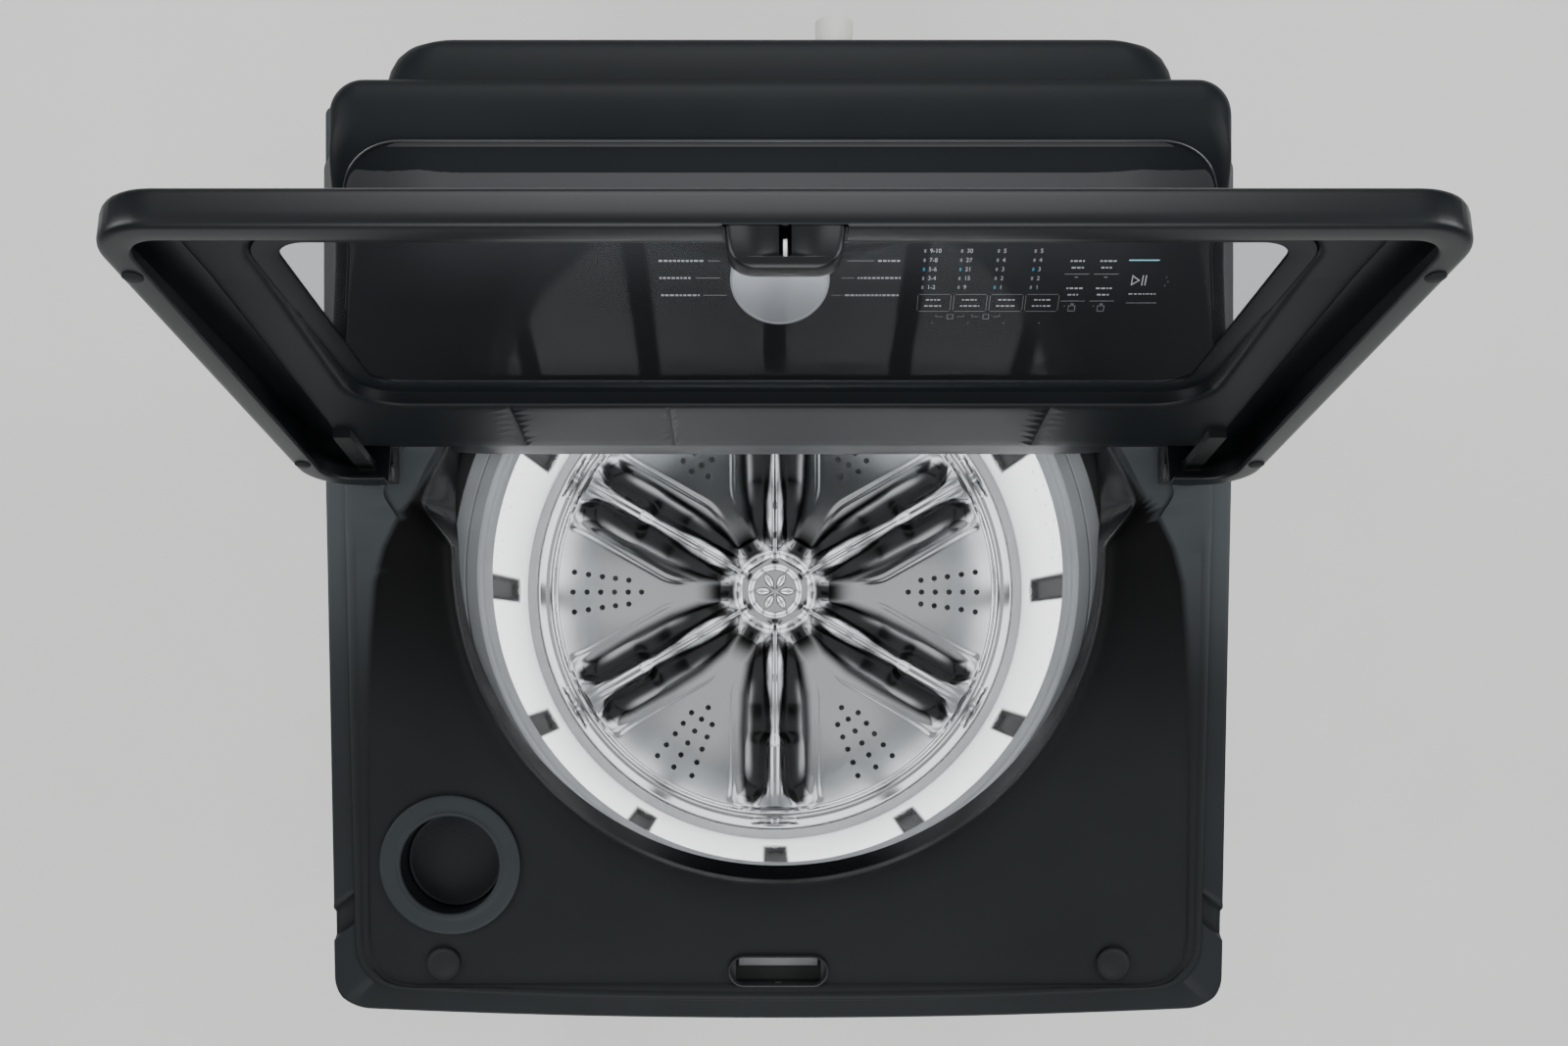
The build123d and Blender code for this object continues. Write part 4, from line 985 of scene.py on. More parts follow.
    def _slot_hole(self) -> bpy.types.Object:
        """Return the cutter of the lid lock's slot."""
        low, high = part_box("lock_bezel")
        return stadium("cutter", (low + high) / 2, 38.5, 12.0, 60.0, DECK_SATIN)


def stadium_outline(half_l: float, radius: float, count: int = 20) -> np.ndarray:
    """Outline of a slot with round ends, along X.

    Args:
        half_l: Half its whole length.
        radius: End radius.
        count: Steps on each end.

    Returns:
        Points in order.
    """
    reach = half_l - radius
    right = [(reach + radius * math.cos(a), radius * math.sin(a)) for a in np.linspace(-math.pi / 2,
                                                                                       math.pi / 2, count)]
    return np.array(right + [(-x, -y) for x, y in right])


def stadium(name: str, centre: Vector, half_l: float, radius: float, height: float,
            finish: Finish) -> bpy.types.Object:
    """Upright prism over a slot outline.

    Args:
        name: Piece name.
        centre: Middle of the prism, in metres.
        half_l: Half its whole length, in millimetres.
        radius: End radius.
        height: Whole height.
        finish: Surface finish.

    Returns:
        The new object.
    """
    line = stadium_outline(half_l, radius) * MM
    rings = [np.column_stack([line[:, 0] + centre.x, line[:, 1] + centre.y,
                              np.full(len(line), centre.z + side * height * MM / 2)]) for side in (-1, 1)]
    verts, faces = loft(rings, cap_first=True, cap_last=True)
    return new_mesh(name, verts, faces, finish)


@dataclass
class DeckFittings:
    """Bleach cup, bumpers and lid lock bezel, tilted with the deck.

    Args:
        flange_r: Cup flange radius.
        cup_r: Cup outer radius.
        bore_r: Cup inner radius at the top.
        depth: Cup depth.
        bumper_r: Bumper radius.
    """

    flange_r: float = 54.0
    cup_r: float = 40.3
    bore_r: float = 37.5
    depth: float = 26.0
    bumper_r: float = 12.8

    def build(self) -> None:
        """Build and place the fittings."""
        self._cup()
        self._bumpers()
        self._bezel()
        LOG.info("deck fittings built")

    def _tilted(self, obj: bpy.types.Object, x: float, y: float, z: float) -> bpy.types.Object:
        """Move a piece built at the origin to a place on the deck and tilt it.

        Args:
            obj: The piece.
            x: World place in millimetres.
            y: World place.
            z: World place.

        Returns:
            The same object.
        """
        turn = moved(x, y, z) @ Matrix.Rotation(math.atan(PLACE.slope), 4, "X")
        obj.data.transform(turn)
        return obj

    def _cup(self) -> None:
        """Cup with its wide flange, dark floor and the spout slot."""
        low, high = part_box("bleach_cup")
        x, y = (low.x + high.x) / 2 / MM, (low.y + high.y) / 2 / MM
        top = float(PLACE.deck(np.array(y)))
        r, f = self.cup_r, self.flange_r
        section = [(self.bore_r - 1.0, -self.depth + 2.5), (self.bore_r, -self.depth + 4),
                   (self.bore_r, -2.0),
                   (self.bore_r + 0.4, 0.6), (self.bore_r + 1.3, 1.6), (r + 0.2, 1.9), (r + 1.2, 1.2),
                   (r + 3.0, 0.9),
                   (r + 6.0, 1.0), (f - 2.5, 1.35), (f - 1.0, 1.15), (f - 0.2, 0.6), (f, -0.1),
                   (f - 0.8, -1.2),
                   (r + 0.1, -1.4), (r, -4.0), (r, -self.depth + 1.5), (r - 1.0, -self.depth),
                   (10.0, -self.depth),
                   (10.0, -self.depth + 2.5)]
        cup = spin(section, Vector((0, 0, 0)), 160, True, "bleach_tray", CUP_GREY, 30)
        spout = rounded_block("cutter", Vector((26, 15, 7)) * MM,
                              Matrix.Rotation(math.radians(52), 4, "Z") @ moved(34, 0, -3),
                              3.0 * MM, CUP_GREY)
        cut(cup, spout)
        for face in cup.data.polygons:
            face.material_index = 0
        # The bore's wall takes a darker copy of the cup plastic: painted shade inside the cup.
        cup.data.materials.append(CUP_INNER.material())
        for face in cup.data.polygons:
            if math.hypot(face.center.x, face.center.y) < (self.bore_r + 0.3) * MM:
                face.material_index = 1
        floor = spin([(0, 0), (30, 0), (34.5, 0.2), (35.6, 1.0), (36.2, 1.0), (36.4, 0.0), (36.4, -2.0),
                      (0, -2.0)],
                     Vector((0, 0, (-self.depth + 4.6) * MM)), 160, False, "bleach_floor", CUP_FLOOR, 30)
        Piece("cabinet", "grey_plastic", ("bleach_cup",)).place(self._tilted(cup, x, y, top))
        Piece("cabinet", "black_plastic").place(self._tilted(floor, x, y, top))

    def _bumpers(self) -> None:
        """Two rubber bumpers with a rim and a domed middle."""
        low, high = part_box("deck_bumpers")
        y = (low.y + high.y) / 2 / MM
        reach = high.x / MM - self.bumper_r
        b = self.bumper_r
        pads = []
        for x in (-reach, reach):
            pad = spin([(0, 1.7), (b * 0.55, 1.5), (b * 0.72, 1.0), (b * 0.78, 0.9), (b * 0.84, 1.3),
                        (b * 0.92, 1.3),
                        (b, 0.4), (b, -0.8), (5.0, -1.0), (5.0, -8.0), (0, -8.0)], Vector((0, 0, 0)), 72,
                        False,
                       "bumper", RUBBER, 30)
            pads.append(self._tilted(pad, x, y, float(PLACE.deck(np.array(y)))))
        Piece("cabinet", "rubber_black", ("deck_bumpers",)).place(join("lid_rests", pads))

    def _bezel(self) -> None:
        """Rounded frame around the lock slot, with the pale blade inside."""
        low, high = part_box("lock_bezel")
        x, y = (low.x + high.x) / 2 / MM, (low.y + high.y) / 2 / MM
        top = float(PLACE.deck(np.array(y)))
        rings = []
        for half, r, z in ((36.9, 10.6, -5.5), (36.9, 10.6, -0.6), (37.1, 10.8, 0.4), (37.6, 11.2, 0.9),
                           (38.2, 11.8, 0.8), (38.6, 12.2, 0.2), (38.3, 11.9, -0.6), (38.3, 11.9, -5.5)):
            line = stadium_outline(half, r)
            rings.append(np.column_stack([line, np.full(len(line), z)]) * MM)
        verts, faces = loft(rings, loop=True)
        frame_piece = new_mesh("slot_frame", verts, faces, BEZEL_DARK, 30)
        Piece("cabinet", "grey_plastic", ("lock_bezel",)).place(self._tilted(frame_piece, x, y, top))
        blade = block("slot_blade", (62, 9.0, 1.2), (0, 3.6, -19.2), 0.5, LATCH_GREY)
        Piece("cabinet", "black_plastic").place(self._tilted(blade, x, y, top))


# ---------------------------------------------------------------- lid
@dataclass
class Lid:
    """Open lid: skin, rim, inner frame, glass, strike and pads.

    Args:
        length: Hinge axis to the free edge.
        start: Where the rim starts.
        half_w: Half width.
        rim_z: Rim plane, below the axis with the lid shut.
        rim_w: Width of the rim band.
        skin_rear: Skin height at the axis.
        skin_front: Skin height at the free edge.
        inner_inset: Where the inner frame starts, in from the edge.
        glass_t: Pane thickness.
        window: Half width, near edge, far edge and corner radius of the window.
    """

    length: float = 390.0
    start: float = 13.0
    half_w: float = 341.0
    rim_z: float = -14.9
    rim_w: float = 16.0
    skin_rear: float = 25.1
    skin_front: float = 7.1
    inner_inset: float = 31.0
    glass_t: float = 4.0
    window: tuple[float, float, float, float] = (270.0, 129.0, 345.0, 24.0)
    turn: float = math.radians(-103.3)
    mid: float = 201.5
    strike_u: float = 380.5
    angles: np.ndarray = field(default_factory=lambda: np.array([]))

    def build(self) -> None:
        """Build and place every piece of the lid."""
        corner = math.degrees(math.atan2(self.mid - self.start, self.half_w))
        glass_corner = 21.0
        dense = [np.arange(s * c + m - 5, s * c + m + 5, 0.25) for c in (corner, glass_corner)
                 for s, m in ((1, 0), (-1, 0), (1, -180), (-1, 180))]
        base = np.linspace(-180, 180, 360, endpoint=False)
        self.angles = np.radians(np.unique(np.round(np.concatenate([base, *dense]), 3)))
        self._frame()
        self._inner()
        self._glass()
        self._strike()
        self._pads()
        LOG.info("lid built")

    def open(self) -> Matrix:
        """Return the turn from the level lid frame to the open lid, in metres."""
        hinge = Vector((0.0, PLACE.hinge_y, PLACE.hinge_z)) * MM
        return Matrix.Translation(hinge) @ Matrix.Rotation(self.turn, 4, "X")

    def _skin(self, u: np.ndarray | float) -> np.ndarray | float:
        """Height of the skin at a distance from the axis."""
        return self.skin_rear + (self.skin_front - self.skin_rear) * u / self.length

    def _plan(self, inset: float) -> np.ndarray:
        """Radius of the lid's plan, set in, about its middle."""
        radius = max(35.0 - inset, 7.0)
        line = box_outline(self.half_w - inset, -(self.length - inset) + self.mid,
                           -(self.start + inset) + self.mid,
                           radius)
        return polar(line, self.angles)

    def _window(self, grow: float) -> np.ndarray:
        """Radius of the window's outline, grown, about the lid's middle."""
        half, near, far, radius = self.window
        line = box_outline(half + grow, -(far + grow) + self.mid, -(near - grow) + self.mid,
                           max(radius + grow, 3.0))
        return polar(line, self.angles)

    def _points(self, radius: np.ndarray, height: Callable[[np.ndarray], np.ndarray]) -> Ring:
        """Ring in the level lid frame.

        Args:
            radius: Radius at each angle.
            height: Height from the distance to the axis.

        Returns:
            Points in metres.
        """
        x = radius * np.cos(self.angles)
        y = radius * np.sin(self.angles) - self.mid
        return np.stack([x, y, np.zeros(len(x)) + height(-y)], axis=1) * MM

    def _opened(self, obj: bpy.types.Object) -> bpy.types.Object:
        """Turn a piece from the level frame to the open lid and return it."""
        obj.data.transform(self.open())
        return obj

    def _frame(self) -> None:
        """Outer lid in one closed shell, with the rear lip and its notches."""
        low = self.rim_z
        skin = self._skin

        def under(drop: float) -> Callable[[np.ndarray], np.ndarray]:
            """Return the skin's height lowered by drop."""
            return lambda u: skin(u) - drop

        def flat(z: float) -> Callable[[np.ndarray], np.ndarray]:
            """Return a fixed height."""
            return lambda u: np.full(len(u), z)

        rings = [self._points(self._window(0.0), under(3.0)), self._points(self._window(0.0), under(0.8)),
                 self._points(self._window(0.4), under(0.25)), self._points(self._window(1.2), under(0.0))]
        for f in (0.2, 0.5, 0.8):
            blend = self._window(1.2) * (1 - f) + self._plan(8.0) * f
            rings.append(self._points(blend, under(0.0)))
        for inset, drop in ((8.0, 0.0), (5.0, 0.25), (3.0, 0.9), (1.4, 2.2), (0.4, 4.2), (0.0, 6.5)):
            rings.append(self._points(self._plan(inset), under(drop)))
        for inset, up in ((0.0, 7.5), (0.0, 3.6), (0.5, 1.9), (1.6, 0.8), (3.4, 0.15), (5.0, 0.0), (9.0, 0.0),
                          (self.rim_w - 1.8, 0.0), (self.rim_w - 0.6, 0.25), (self.rim_w, 0.9),
                          (self.rim_w, 2.4),
                          (self.rim_w - 1.0, 2.6), (3.0, 2.6)):
            rings.append(self._points(self._plan(inset), flat(low + up)))
        rings += [self._points(self._plan(3.0), under(4.4)), self._points(self._plan(6.0), under(3.0)),
                  self._points(self._window(6.0), under(3.0))]
        verts, faces = loft(rings, loop=True)
        frame_piece = new_mesh("lid_shell", verts, faces, LID_SATIN, 40)
        cut(frame_piece, block("cutter", (570, 34, 60), (0, -14, -14), 0.5, LID_SATIN))
        for x in (-302.0, 302.0):
            cut(frame_piece, block("cutter", (14, 8, 9), (x, -14, 1.0), 0.5, LID_SATIN))
        cut(frame_piece, block("cutter", (60.4, 16.4, 8), (0, -self.strike_u, low + 1), 0.5, LID_SATIN))
        lip = self._lip()
        whole = join("lid_shell", [frame_piece, lip])
        Piece("lid", "black_steel", ("lid_frame",)).place(self._opened(whole))

    def _lip(self) -> bpy.types.Object:
        """Return the rounded lip behind the axis."""
        section = [(-33, 0.0), (8, 0.0), (17, -0.2), (21, -0.8), (22.6, -1.8), (22.2, -2.7), (20.5, -3.0),
                   (8, -3.0),
                   (-33, -3.0)]
        rings = []
        for x in np.linspace(-246, 246, 42):
            ease = 1.0 - 0.18 * (abs(x) / 246) ** 14
            rings.append(np.array([(x, y if y < 0 else y * ease, self._skin(-y) + d) for y,
                                   d in section]) * MM)
        verts, faces = loft(rings, cap_first=True, cap_last=True)
        return new_mesh("lid_lip", verts, faces, LID_SATIN, 40)

    def _floor(self, lift: float) -> Callable[[np.ndarray], np.ndarray]:
        """Return the inner frame's floor height, raised by lift, as a function of the distance."""
        return lambda u: np.minimum(4.0, self._skin(u) - 7.3) + lift

    def _seat(self, lift: float) -> Callable[[np.ndarray], np.ndarray]:
        """Return the height under the pane, raised by lift, as a function of the distance."""
        return lambda u: self._skin(u) - self.glass_t - 2.2 + lift

    def _inner(self) -> None:
        """Inner frame: outer wall, floor band, window lip and pane seat, with its seams."""
        inset = self.inner_inset

        def wall(u: np.ndarray) -> np.ndarray:
            """Return the top of the outer wall."""
            return self._skin(u) - 3.2

        plan, window, floor, seat = self._plan, self._window, self._floor, self._seat
        rings = [self._points(plan(inset), wall), self._points(plan(inset), floor(3.5)),
                 self._points(plan(inset + 0.7), floor(1.6)), self._points(plan(inset + 2.0), floor(0.4)),
                 self._points(plan(inset + 3.6), floor(0.0))]
        for f in (0.15, 0.3, 0.45, 0.6, 0.75, 0.88):
            rings.append(self._points(plan(inset + 3.6) * (1 - f) + window(14.0) * f, floor(0.0)))
        rings += [self._points(window(14.0), floor(0.0)), self._points(window(12.0), floor(0.3)),
                  self._points(window(10.4), floor(1.0)), self._points(window(9.3), floor(2.0)),
                  self._points(window(8.6), lambda u: np.maximum(floor(3.0)(u), seat(-0.9)(u))),
                  self._points(window(8.2), seat(-0.1)), self._points(window(6.0), seat(0.0)),
                  self._points(window(-4.8), seat(0.0)), self._points(window(-5.8), seat(0.3)),
                  self._points(window(-6.0), seat(1.0)), self._points(window(-6.0), seat(2.0)),
                  self._points(window(11.6), seat(2.0)), self._points(window(11.9), floor(2.4)),
                  self._points(plan(inset + 2.4), floor(2.4)), self._points(plan(inset + 2.2), wall)]
        verts, faces = loft(rings, loop=True)
        inner = new_mesh("lid_liner", verts, faces, LID_INNER, 40)
        for x in (-179.5, -74.0, 179.0):
            cut(inner, block("cutter", (0.9, 120, 2.0), (x, -72.0, 3.6), 0.1, LID_INNER))
        Piece("lid", "black_plastic", ("lid_inner_frame",)).place(self._opened(inner))

    def _glass(self) -> None:
        """Flat smoked pane."""
        edges = ((-0.9, -self.glass_t), (-0.5, -self.glass_t + 0.4), (-0.5, -0.5), (-1.0, -0.05))
        rings = [self._points(self._window(g), lambda u, d=d: self._skin(u) + d) for g, d in edges]
        verts, faces = loft(rings, cap_first=True, cap_last=True)
        pane = new_mesh("lid_pane", verts, faces, GLASS, 30)
        Piece("lid", "tinted_glass", ("lid_glass",)).place(self._opened(pane))

    def _strike(self) -> None:
        """Strike block at the free edge, with its slot and the steel tongue in it."""
        low = self.rim_z - 20.0
        rings = []
        sections = ((0.0, 29.8, 7.9), (6.0, 29.7, 7.9), (8.4, 29.6, 7.9), (9.0, 29.2, 7.5),
                    (9.8, 29.2, 7.5), (10.4, 29.6, 7.9), (16.0, 29.2, 7.8), (24.0, 28.4, 7.7),
                    (30.0, 27.4, 7.4),
                    (33.6, 25.6, 6.9), (36.4, 22.4, 6.2), (37.9, 18.5, 5.0), (38.4, 14.0, 3.4))
        top = float(self._skin(self.strike_u)) - 3.4
        span = (top - low) / sections[-1][0]
        for down, half, thick in sections:
            line = self._soft_box(half, thick, 3.0)
            height = np.full(len(line), top - down * span)
            rings.append(np.column_stack([line[:, 0], line[:, 1] - self.strike_u, height]) * MM)
        verts, faces = loft(rings, cap_first=True, cap_last=True)
        block_piece = new_mesh("lid_latch", verts, faces, LID_STRIKE, 35)
        cut(block_piece, block("cutter", (6.0, 12.0, 21.0), (0, -386.0, low + 15.5), 2.0, LID_STRIKE))
        Piece("lid", "black_plastic", ("lid_strike",)).place(self._opened(block_piece))
        tongue = block("latch_tongue", (3.4, 2.2, 12.0), (0, -381.7, low + 11.4), 1.0, ZINC)
        Piece("lid", "zinc_steel").place(self._opened(tongue))

    def _soft_box(self, half_x: float, half_y: float, radius: float) -> np.ndarray:
        """Return a rounded rectangle about the origin."""
        points = []
        for cx, cy, a0 in ((1, 1, 0), (-1, 1, 90), (-1, -1, 180), (1, -1, 270)):
            for k in range(9):
                a = math.radians(a0 + 90 * k / 8)
                points.append((cx * (half_x - radius) + radius * math.cos(a),
                               cy * (half_y - radius) + radius * math.sin(a)))
        return np.array(points)

    def _pads(self) -> None:
        """Small rubber pads on the rim."""
        pads = []
        for x in (-self.half_w + 8, self.half_w - 8):
            for u in (self.start + 48, self.length - 52):
                pads.append(spin([(0, 0.4), (5.4, 0.4), (5.4, -0.7), (4.6, -1.3), (0, -1.4)],
                                 Vector((x, -u, self.rim_z)) * MM, 40, False, "pad", RUBBER, 30))
        Piece("lid", "rubber_black", ("lid_bumpers",)).place(self._opened(join("lid_pads", pads)))


# ---------------------------------------------------------------- console
@dataclass
class Console:
    """Rear console: tapered housing, glossy panel with its printing, knob and rear section.

    Args:
        height: Height above the deck.
        taper: Half width at a few heights, as (height, half width).
        foot_y: Panel foot, behind the tub axis.
        foot_h: Panel foot above the deck.
        tilt: Panel slope, in radians.
        back_y: Back of the housing, behind the tub axis.
        knob_up: Knob centre along the panel.
    """

    height: float = 150.0
    taper: tuple[tuple[float, float], ...] = ((0.0, 343.0), (50.0, 321.0), (95.0, 305.0), (151.0, 295.0))
    foot_y: float = 112.0
    foot_h: float = 3.0
    tilt: float = math.atan2(144.0, 160.0)
    back_y: float = 318.0
    knob_up: float = 128.0

    def build(self) -> None:
        """Build and place every piece of the console."""
        self._housing()
        self._panel()
        self._trim()
        self._print()
        self._knob()
        self._rear()
        LOG.info("console built")

    @property
    def length(self) -> float:
        """Length of the panel along its slope."""
        return (self.height - self.foot_h) / math.sin(self.tilt)

    def half_at(self, h: np.ndarray | float) -> np.ndarray | float:
        """Half width of the housing at a height above the deck."""
        heights, widths = zip(*self.taper)
        return np.interp(h, heights, widths)

    def frame(self) -> Matrix:
        """Return the panel's frame: X across, Y up the slope, Z outward."""
        foot = Vector((0.0, PLACE.tub_y + self.foot_y, PLACE.deck_z + self.foot_h)) * MM
        return Matrix.Translation(foot) @ Matrix.Rotation(self.tilt, 4, "X")

    def _front_at(self, h: float) -> float:
        """Distance of the sloping front behind the tub axis, at a height above the deck."""
        return self.foot_y + max(0.0, h - self.foot_h) / math.tan(self.tilt)

    def _level(self, h: float, inset: float, front_radius: float, back_radius: float) -> Ring:
        """Rounded rectangle of the housing at a height.

        Args:
            h: Height above the deck.
            inset: How far it is set in.
            front_radius: Radius of its front corners.
            back_radius: Radius of its back corners.

        Returns:
            Points in metres.
        """
        half = float(self.half_at(h)) - inset
        y0 = self._front_at(h) + 1.0 + inset
        y1 = self.back_y - inset
        line = box_outline(half, y0, y1, min(front_radius, (y1 - y0) / 2 - 1), 0.0, 12,
                           min(back_radius, (y1 - y0) / 2 - 1))
        z = PLACE.deck_z + h
        return np.column_stack([line[:, 0], line[:, 1] + PLACE.tub_y, np.full(len(line), z)]) * MM

    def _housing(self) -> None:
        """Housing as a closed stack of rounded levels with a soft top edge."""
        rings = [self._level(0.2, 3.0, 6, 16), self._level(0.0, 1.0, 6, 16), self._level(0.6, 0.2, 6, 16)]
        for h in (4, 12, 25, 40, 55, 70, 85, 100, 112, 122, 130):
            rings.append(self._level(float(h), 0.0, 7.0, 20.0))
        for h, inset in ((135.0, 0.2), (139.0, 0.9), (142.5, 2.4), (145.3, 4.8), (147.4, 8.0), (148.8, 12.5),
                         (149.4, 18.0)):
            rings.append(self._level(h, inset, 9.0, 22.0))
        verts, faces = loft(rings, cap_first=True, cap_last=True)
        body = new_mesh("console_shell", verts, faces, CONSOLE_SATIN, 40)
        Piece("cabinet", "black_plastic", ("console_housing",)).place(body)

    def _plate(self, grow: float) -> np.ndarray:
        """Outline of the panel on its slope, shrunk by grow below zero."""
        low, high = 4.3 - grow, self.length - 4.3 + grow
        points = []
        for v in np.linspace(low, high - 42, 16):
            h = self.foot_h + v * math.sin(self.tilt)
            points.append((float(self.half_at(h)) - 9.3 + grow, float(v)))
        top_half = points[-1][0]
        for k in range(1, 15):
            a = math.radians(90.0 * k / 14)
            points.append((top_half - 44 + 42 * math.cos(a) + 2 * (1 - k / 14), high - 42 + 42 * math.sin(a)))
        return np.array(points + [(-x, v) for x, v in reversed(points)])

    def _panel(self) -> None:
        """Glossy plate that rolls over at its upper edge."""
        rings = []
        for grow, z in ((-2.0, -3.9), (0.0, -3.9), (0.0, -0.9), (-0.4, -0.25), (-1.4, 0.0), (-3.0, 0.0)):
            line = self._plate(grow)
            rings.append(np.column_stack([line, np.full(len(line), z)]) * MM)
        base = self._plate(-3.0)
        centre = np.array([[0.0, self.length / 2]])
        for f in (0.9, 0.75, 0.55, 0.35, 0.15):
            line = centre + (base - centre) * f
            rings.append(np.column_stack([line, np.zeros(len(line))]) * MM)
        verts, faces = loft(rings, cap_first=True, cap_last=True)
        high = verts[:, 1] / MM
        roll = np.clip((high - (self.length - 40.0)) / 36.0, 0, 1)
        verts[:, 2] -= (roll ** 2) * 3.2 * MM
        panel = new_mesh("panel_plate", verts, faces, PANEL_GLOSS, 30)
        cut(panel, spin([(0, -12), (9.0, -12), (9.0, 6), (0, 6)], Vector((0, self.knob_up * MM, 0)), 64,
                        False,
                        "cutter", PANEL_GLOSS))
        panel.data.transform(self.frame())
        Piece("cabinet", "gloss_black", ("control_panel",)).place(panel)

    def _trim(self) -> None:
        """Thin pale line that follows the panel's rolled upper edge."""
        line = self._plate(0.9)
        count = len(line) // 2
        keep = np.concatenate([line[8:count], line[count:-8]])
        rings = []
        for k, (x, v) in enumerate(keep):
            ahead = keep[min(k + 1, len(keep) - 1)] - keep[max(k - 1, 0)]
            side = np.array([ahead[1], -ahead[0]]) / max(np.hypot(*ahead), 1e-9)
            spot = [(x + side[0] * o, v + side[1] * o, h) for o, h in
                    ((-0.2, -2.4), (1.2, -2.4), (1.2, -0.9), (0.8, -0.6), (0.2, -0.6), (-0.2, -0.9))]
            rings.append(np.array(spot) * MM)
        verts, faces = loft(rings, cap_first=True, cap_last=True)
        trim = new_mesh("panel_trim", verts, faces, TRIM_SATIN, 40)
        trim.data.transform(self.frame())
        Piece("cabinet", "trim_metal", ("console_trim",)).place(trim)

    def _bar(self, x0: float, x1: float, v0: float, v1: float) -> tuple[np.ndarray, list[tuple[int, ...]]]:
        """Thin raised rectangle on the panel.

        Args:
            x0: Left edge.
            x1: Right edge.
            v0: Lower edge.
            v1: Upper edge.

        Returns:
            Points in millimetres and faces.
        """
        low, high = 0.02, 0.09
        pts = np.array([(x, v, z) for z in (low, high) for x, v in ((x0, v0), (x1, v0), (x1, v1), (x0, v1))])
        return pts, [(3, 2, 1, 0), (4, 5, 6, 7), (0, 1, 5, 4), (1, 2, 6, 5), (2, 3, 7, 6), (3, 0, 4, 7)]

    def _printed(self, name: str, bars: Sequence[tuple[float, float, float, float]],
                 finish: Finish | LampFinish,
                 slot: str) -> None:
        """Place a set of raised rectangles as one piece.

        Args:
            name: Piece name.
            bars: Rectangles as x0, x1, v0, v1.
            finish: Surface finish.
            slot: Material slot.
        """
        verts: list[np.ndarray] = []
        faces: list[tuple[int, ...]] = []
        for k, bar in enumerate(bars):
            pts, quads = self._bar(*bar)
            verts.append(pts)
            faces += [tuple(i + 8 * k for i in f) for f in quads]
        obj = new_mesh(name, np.concatenate(verts) * MM, faces, finish)
        obj.data.transform(self.frame())
        Piece("cabinet", slot).place(obj)

    def _words(self, x0: float, x1: float, v: float,
               size: float = 2.4) -> list[tuple[float, float, float, float]]:
        """Row of short dashes that stands for a label.

        Args:
            x0: Left end.
            x1: Right end.
            v: Height on the panel.
            size: Height of the dashes.

        Returns:
            Rectangles.
        """
        rng = np.random.default_rng(int(abs(x0) * 10 + v))
        bars, x = [], x0
        while x < x1 - 0.8:
            w = min(float(rng.uniform(1.2, 3.0)), x1 - x)
            bars.append((x, x + w, v - size * 0.16, v + size * 0.16))
            x += w + 0.9
        return bars

    def _numbers(self, items: Sequence[tuple[str, float, float, float]]) -> None:
        """Place numbers as one printed piece.

        Args:
            items: Text, left edge, middle height and size of each.
        """
        made = []
        for text, x, v, size in items:
            curve = bpy.data.curves.new("number", "FONT")
            curve.body = text
            curve.size = size
            curve.extrude = 0.035
            curve.align_y = "CENTER"
            obj = bpy.data.objects.new("number", curve)
            bpy.context.scene.collection.objects.link(obj)
            bpy.context.view_layer.update()
            graph = bpy.context.evaluated_depsgraph_get()
            mesh = bpy.data.meshes.new_from_object(obj.evaluated_get(graph))
            bpy.data.objects.remove(obj)
            mesh.transform(Matrix.Scale(MM, 4) @ Matrix.Translation((x, v, 0.055)))
            mesh.materials.clear()
            mesh.materials.append(PRINT_GREY.material())
            piece = bpy.data.objects.new("number", mesh)
            bpy.context.scene.collection.objects.link(piece)
            made.append(piece)
        whole = join("panel_numbers", made)
        whole.data.transform(self.frame())
        Piece("cabinet", "gloss_black").place(whole)

    def _print(self) -> None:
        """Labels, leader lines, key outlines, icons, numbers and lamps on the panel."""
        grey: list[tuple[float, float, float, float]] = []
        dim: list[tuple[float, float, float, float]] = []
        rows = (132.3, 119.3, 106.0)
        left = ((-83.6, -51.5, -49.5, -41.3), (-83.6, -60.5, -58.3, -41.3), (-83.0, -55.6, -53.5, -37.2))
        right = ((67.9, 83.7, 46.8, 65.2), (54.3, 84.3, 43.0, 52.0), (46.0, 83.6, 36.5, 43.3))
        for v, (a, b, c, d), (e, f, g, h) in zip(rows, left, right):
            grey += self._words(a, b, v, 4.2) + self._words(e, f, v, 4.2)
            dim += [(c, d, v - 0.22, v + 0.22), (g, h, v - 0.22, v + 0.22)]
        lamps, lit, numbers = [], [], []
        columns = ((100.0, ("9-10", "7-8", "5-6", "3-4", "1-2"), 2),
                   (125.3, ("30", "27", "21", "15", "9"), 2),
                   (150.5, ("5", "4", "3", "2", "1"), 4), (175.8, ("5", "4", "3", "2", "1"), 2))
        for x, texts, on in columns:
            for k, text in enumerate(texts):
                v = 139.7 - k * 6.9
                (lit if k == on else lamps).append((x - 0.7, x + 0.7, v - 1.2, v + 1.2))
                numbers.append((text, x + 3.2, v, 4.4))
        for x0 in (97.2, 122.6, 148.0, 173.2):
            x1, v0, v1, t = x0 + 23.6, 93.2, 106.8, 0.32
            dim += [(x0 + 1, x1 - 1, v0, v0 + t), (x0 + 1, x1 - 1, v1 - t, v1), (x0, x0 + t, v0 + 1, v1 - 1),
                    (x1 - t, x1, v0 + 1, v1 - 1)]
            grey += self._words(x0 + 6.0, x1 - 6.0, 102.4, 3.4) + self._words(x0 + 5.0, x1 - 5.0, 97.6, 3.4)
            dim.append((x0 + 11.4, x0 + 12.2, 83.6, 84.4))
        for x in (112.0, 137.4):
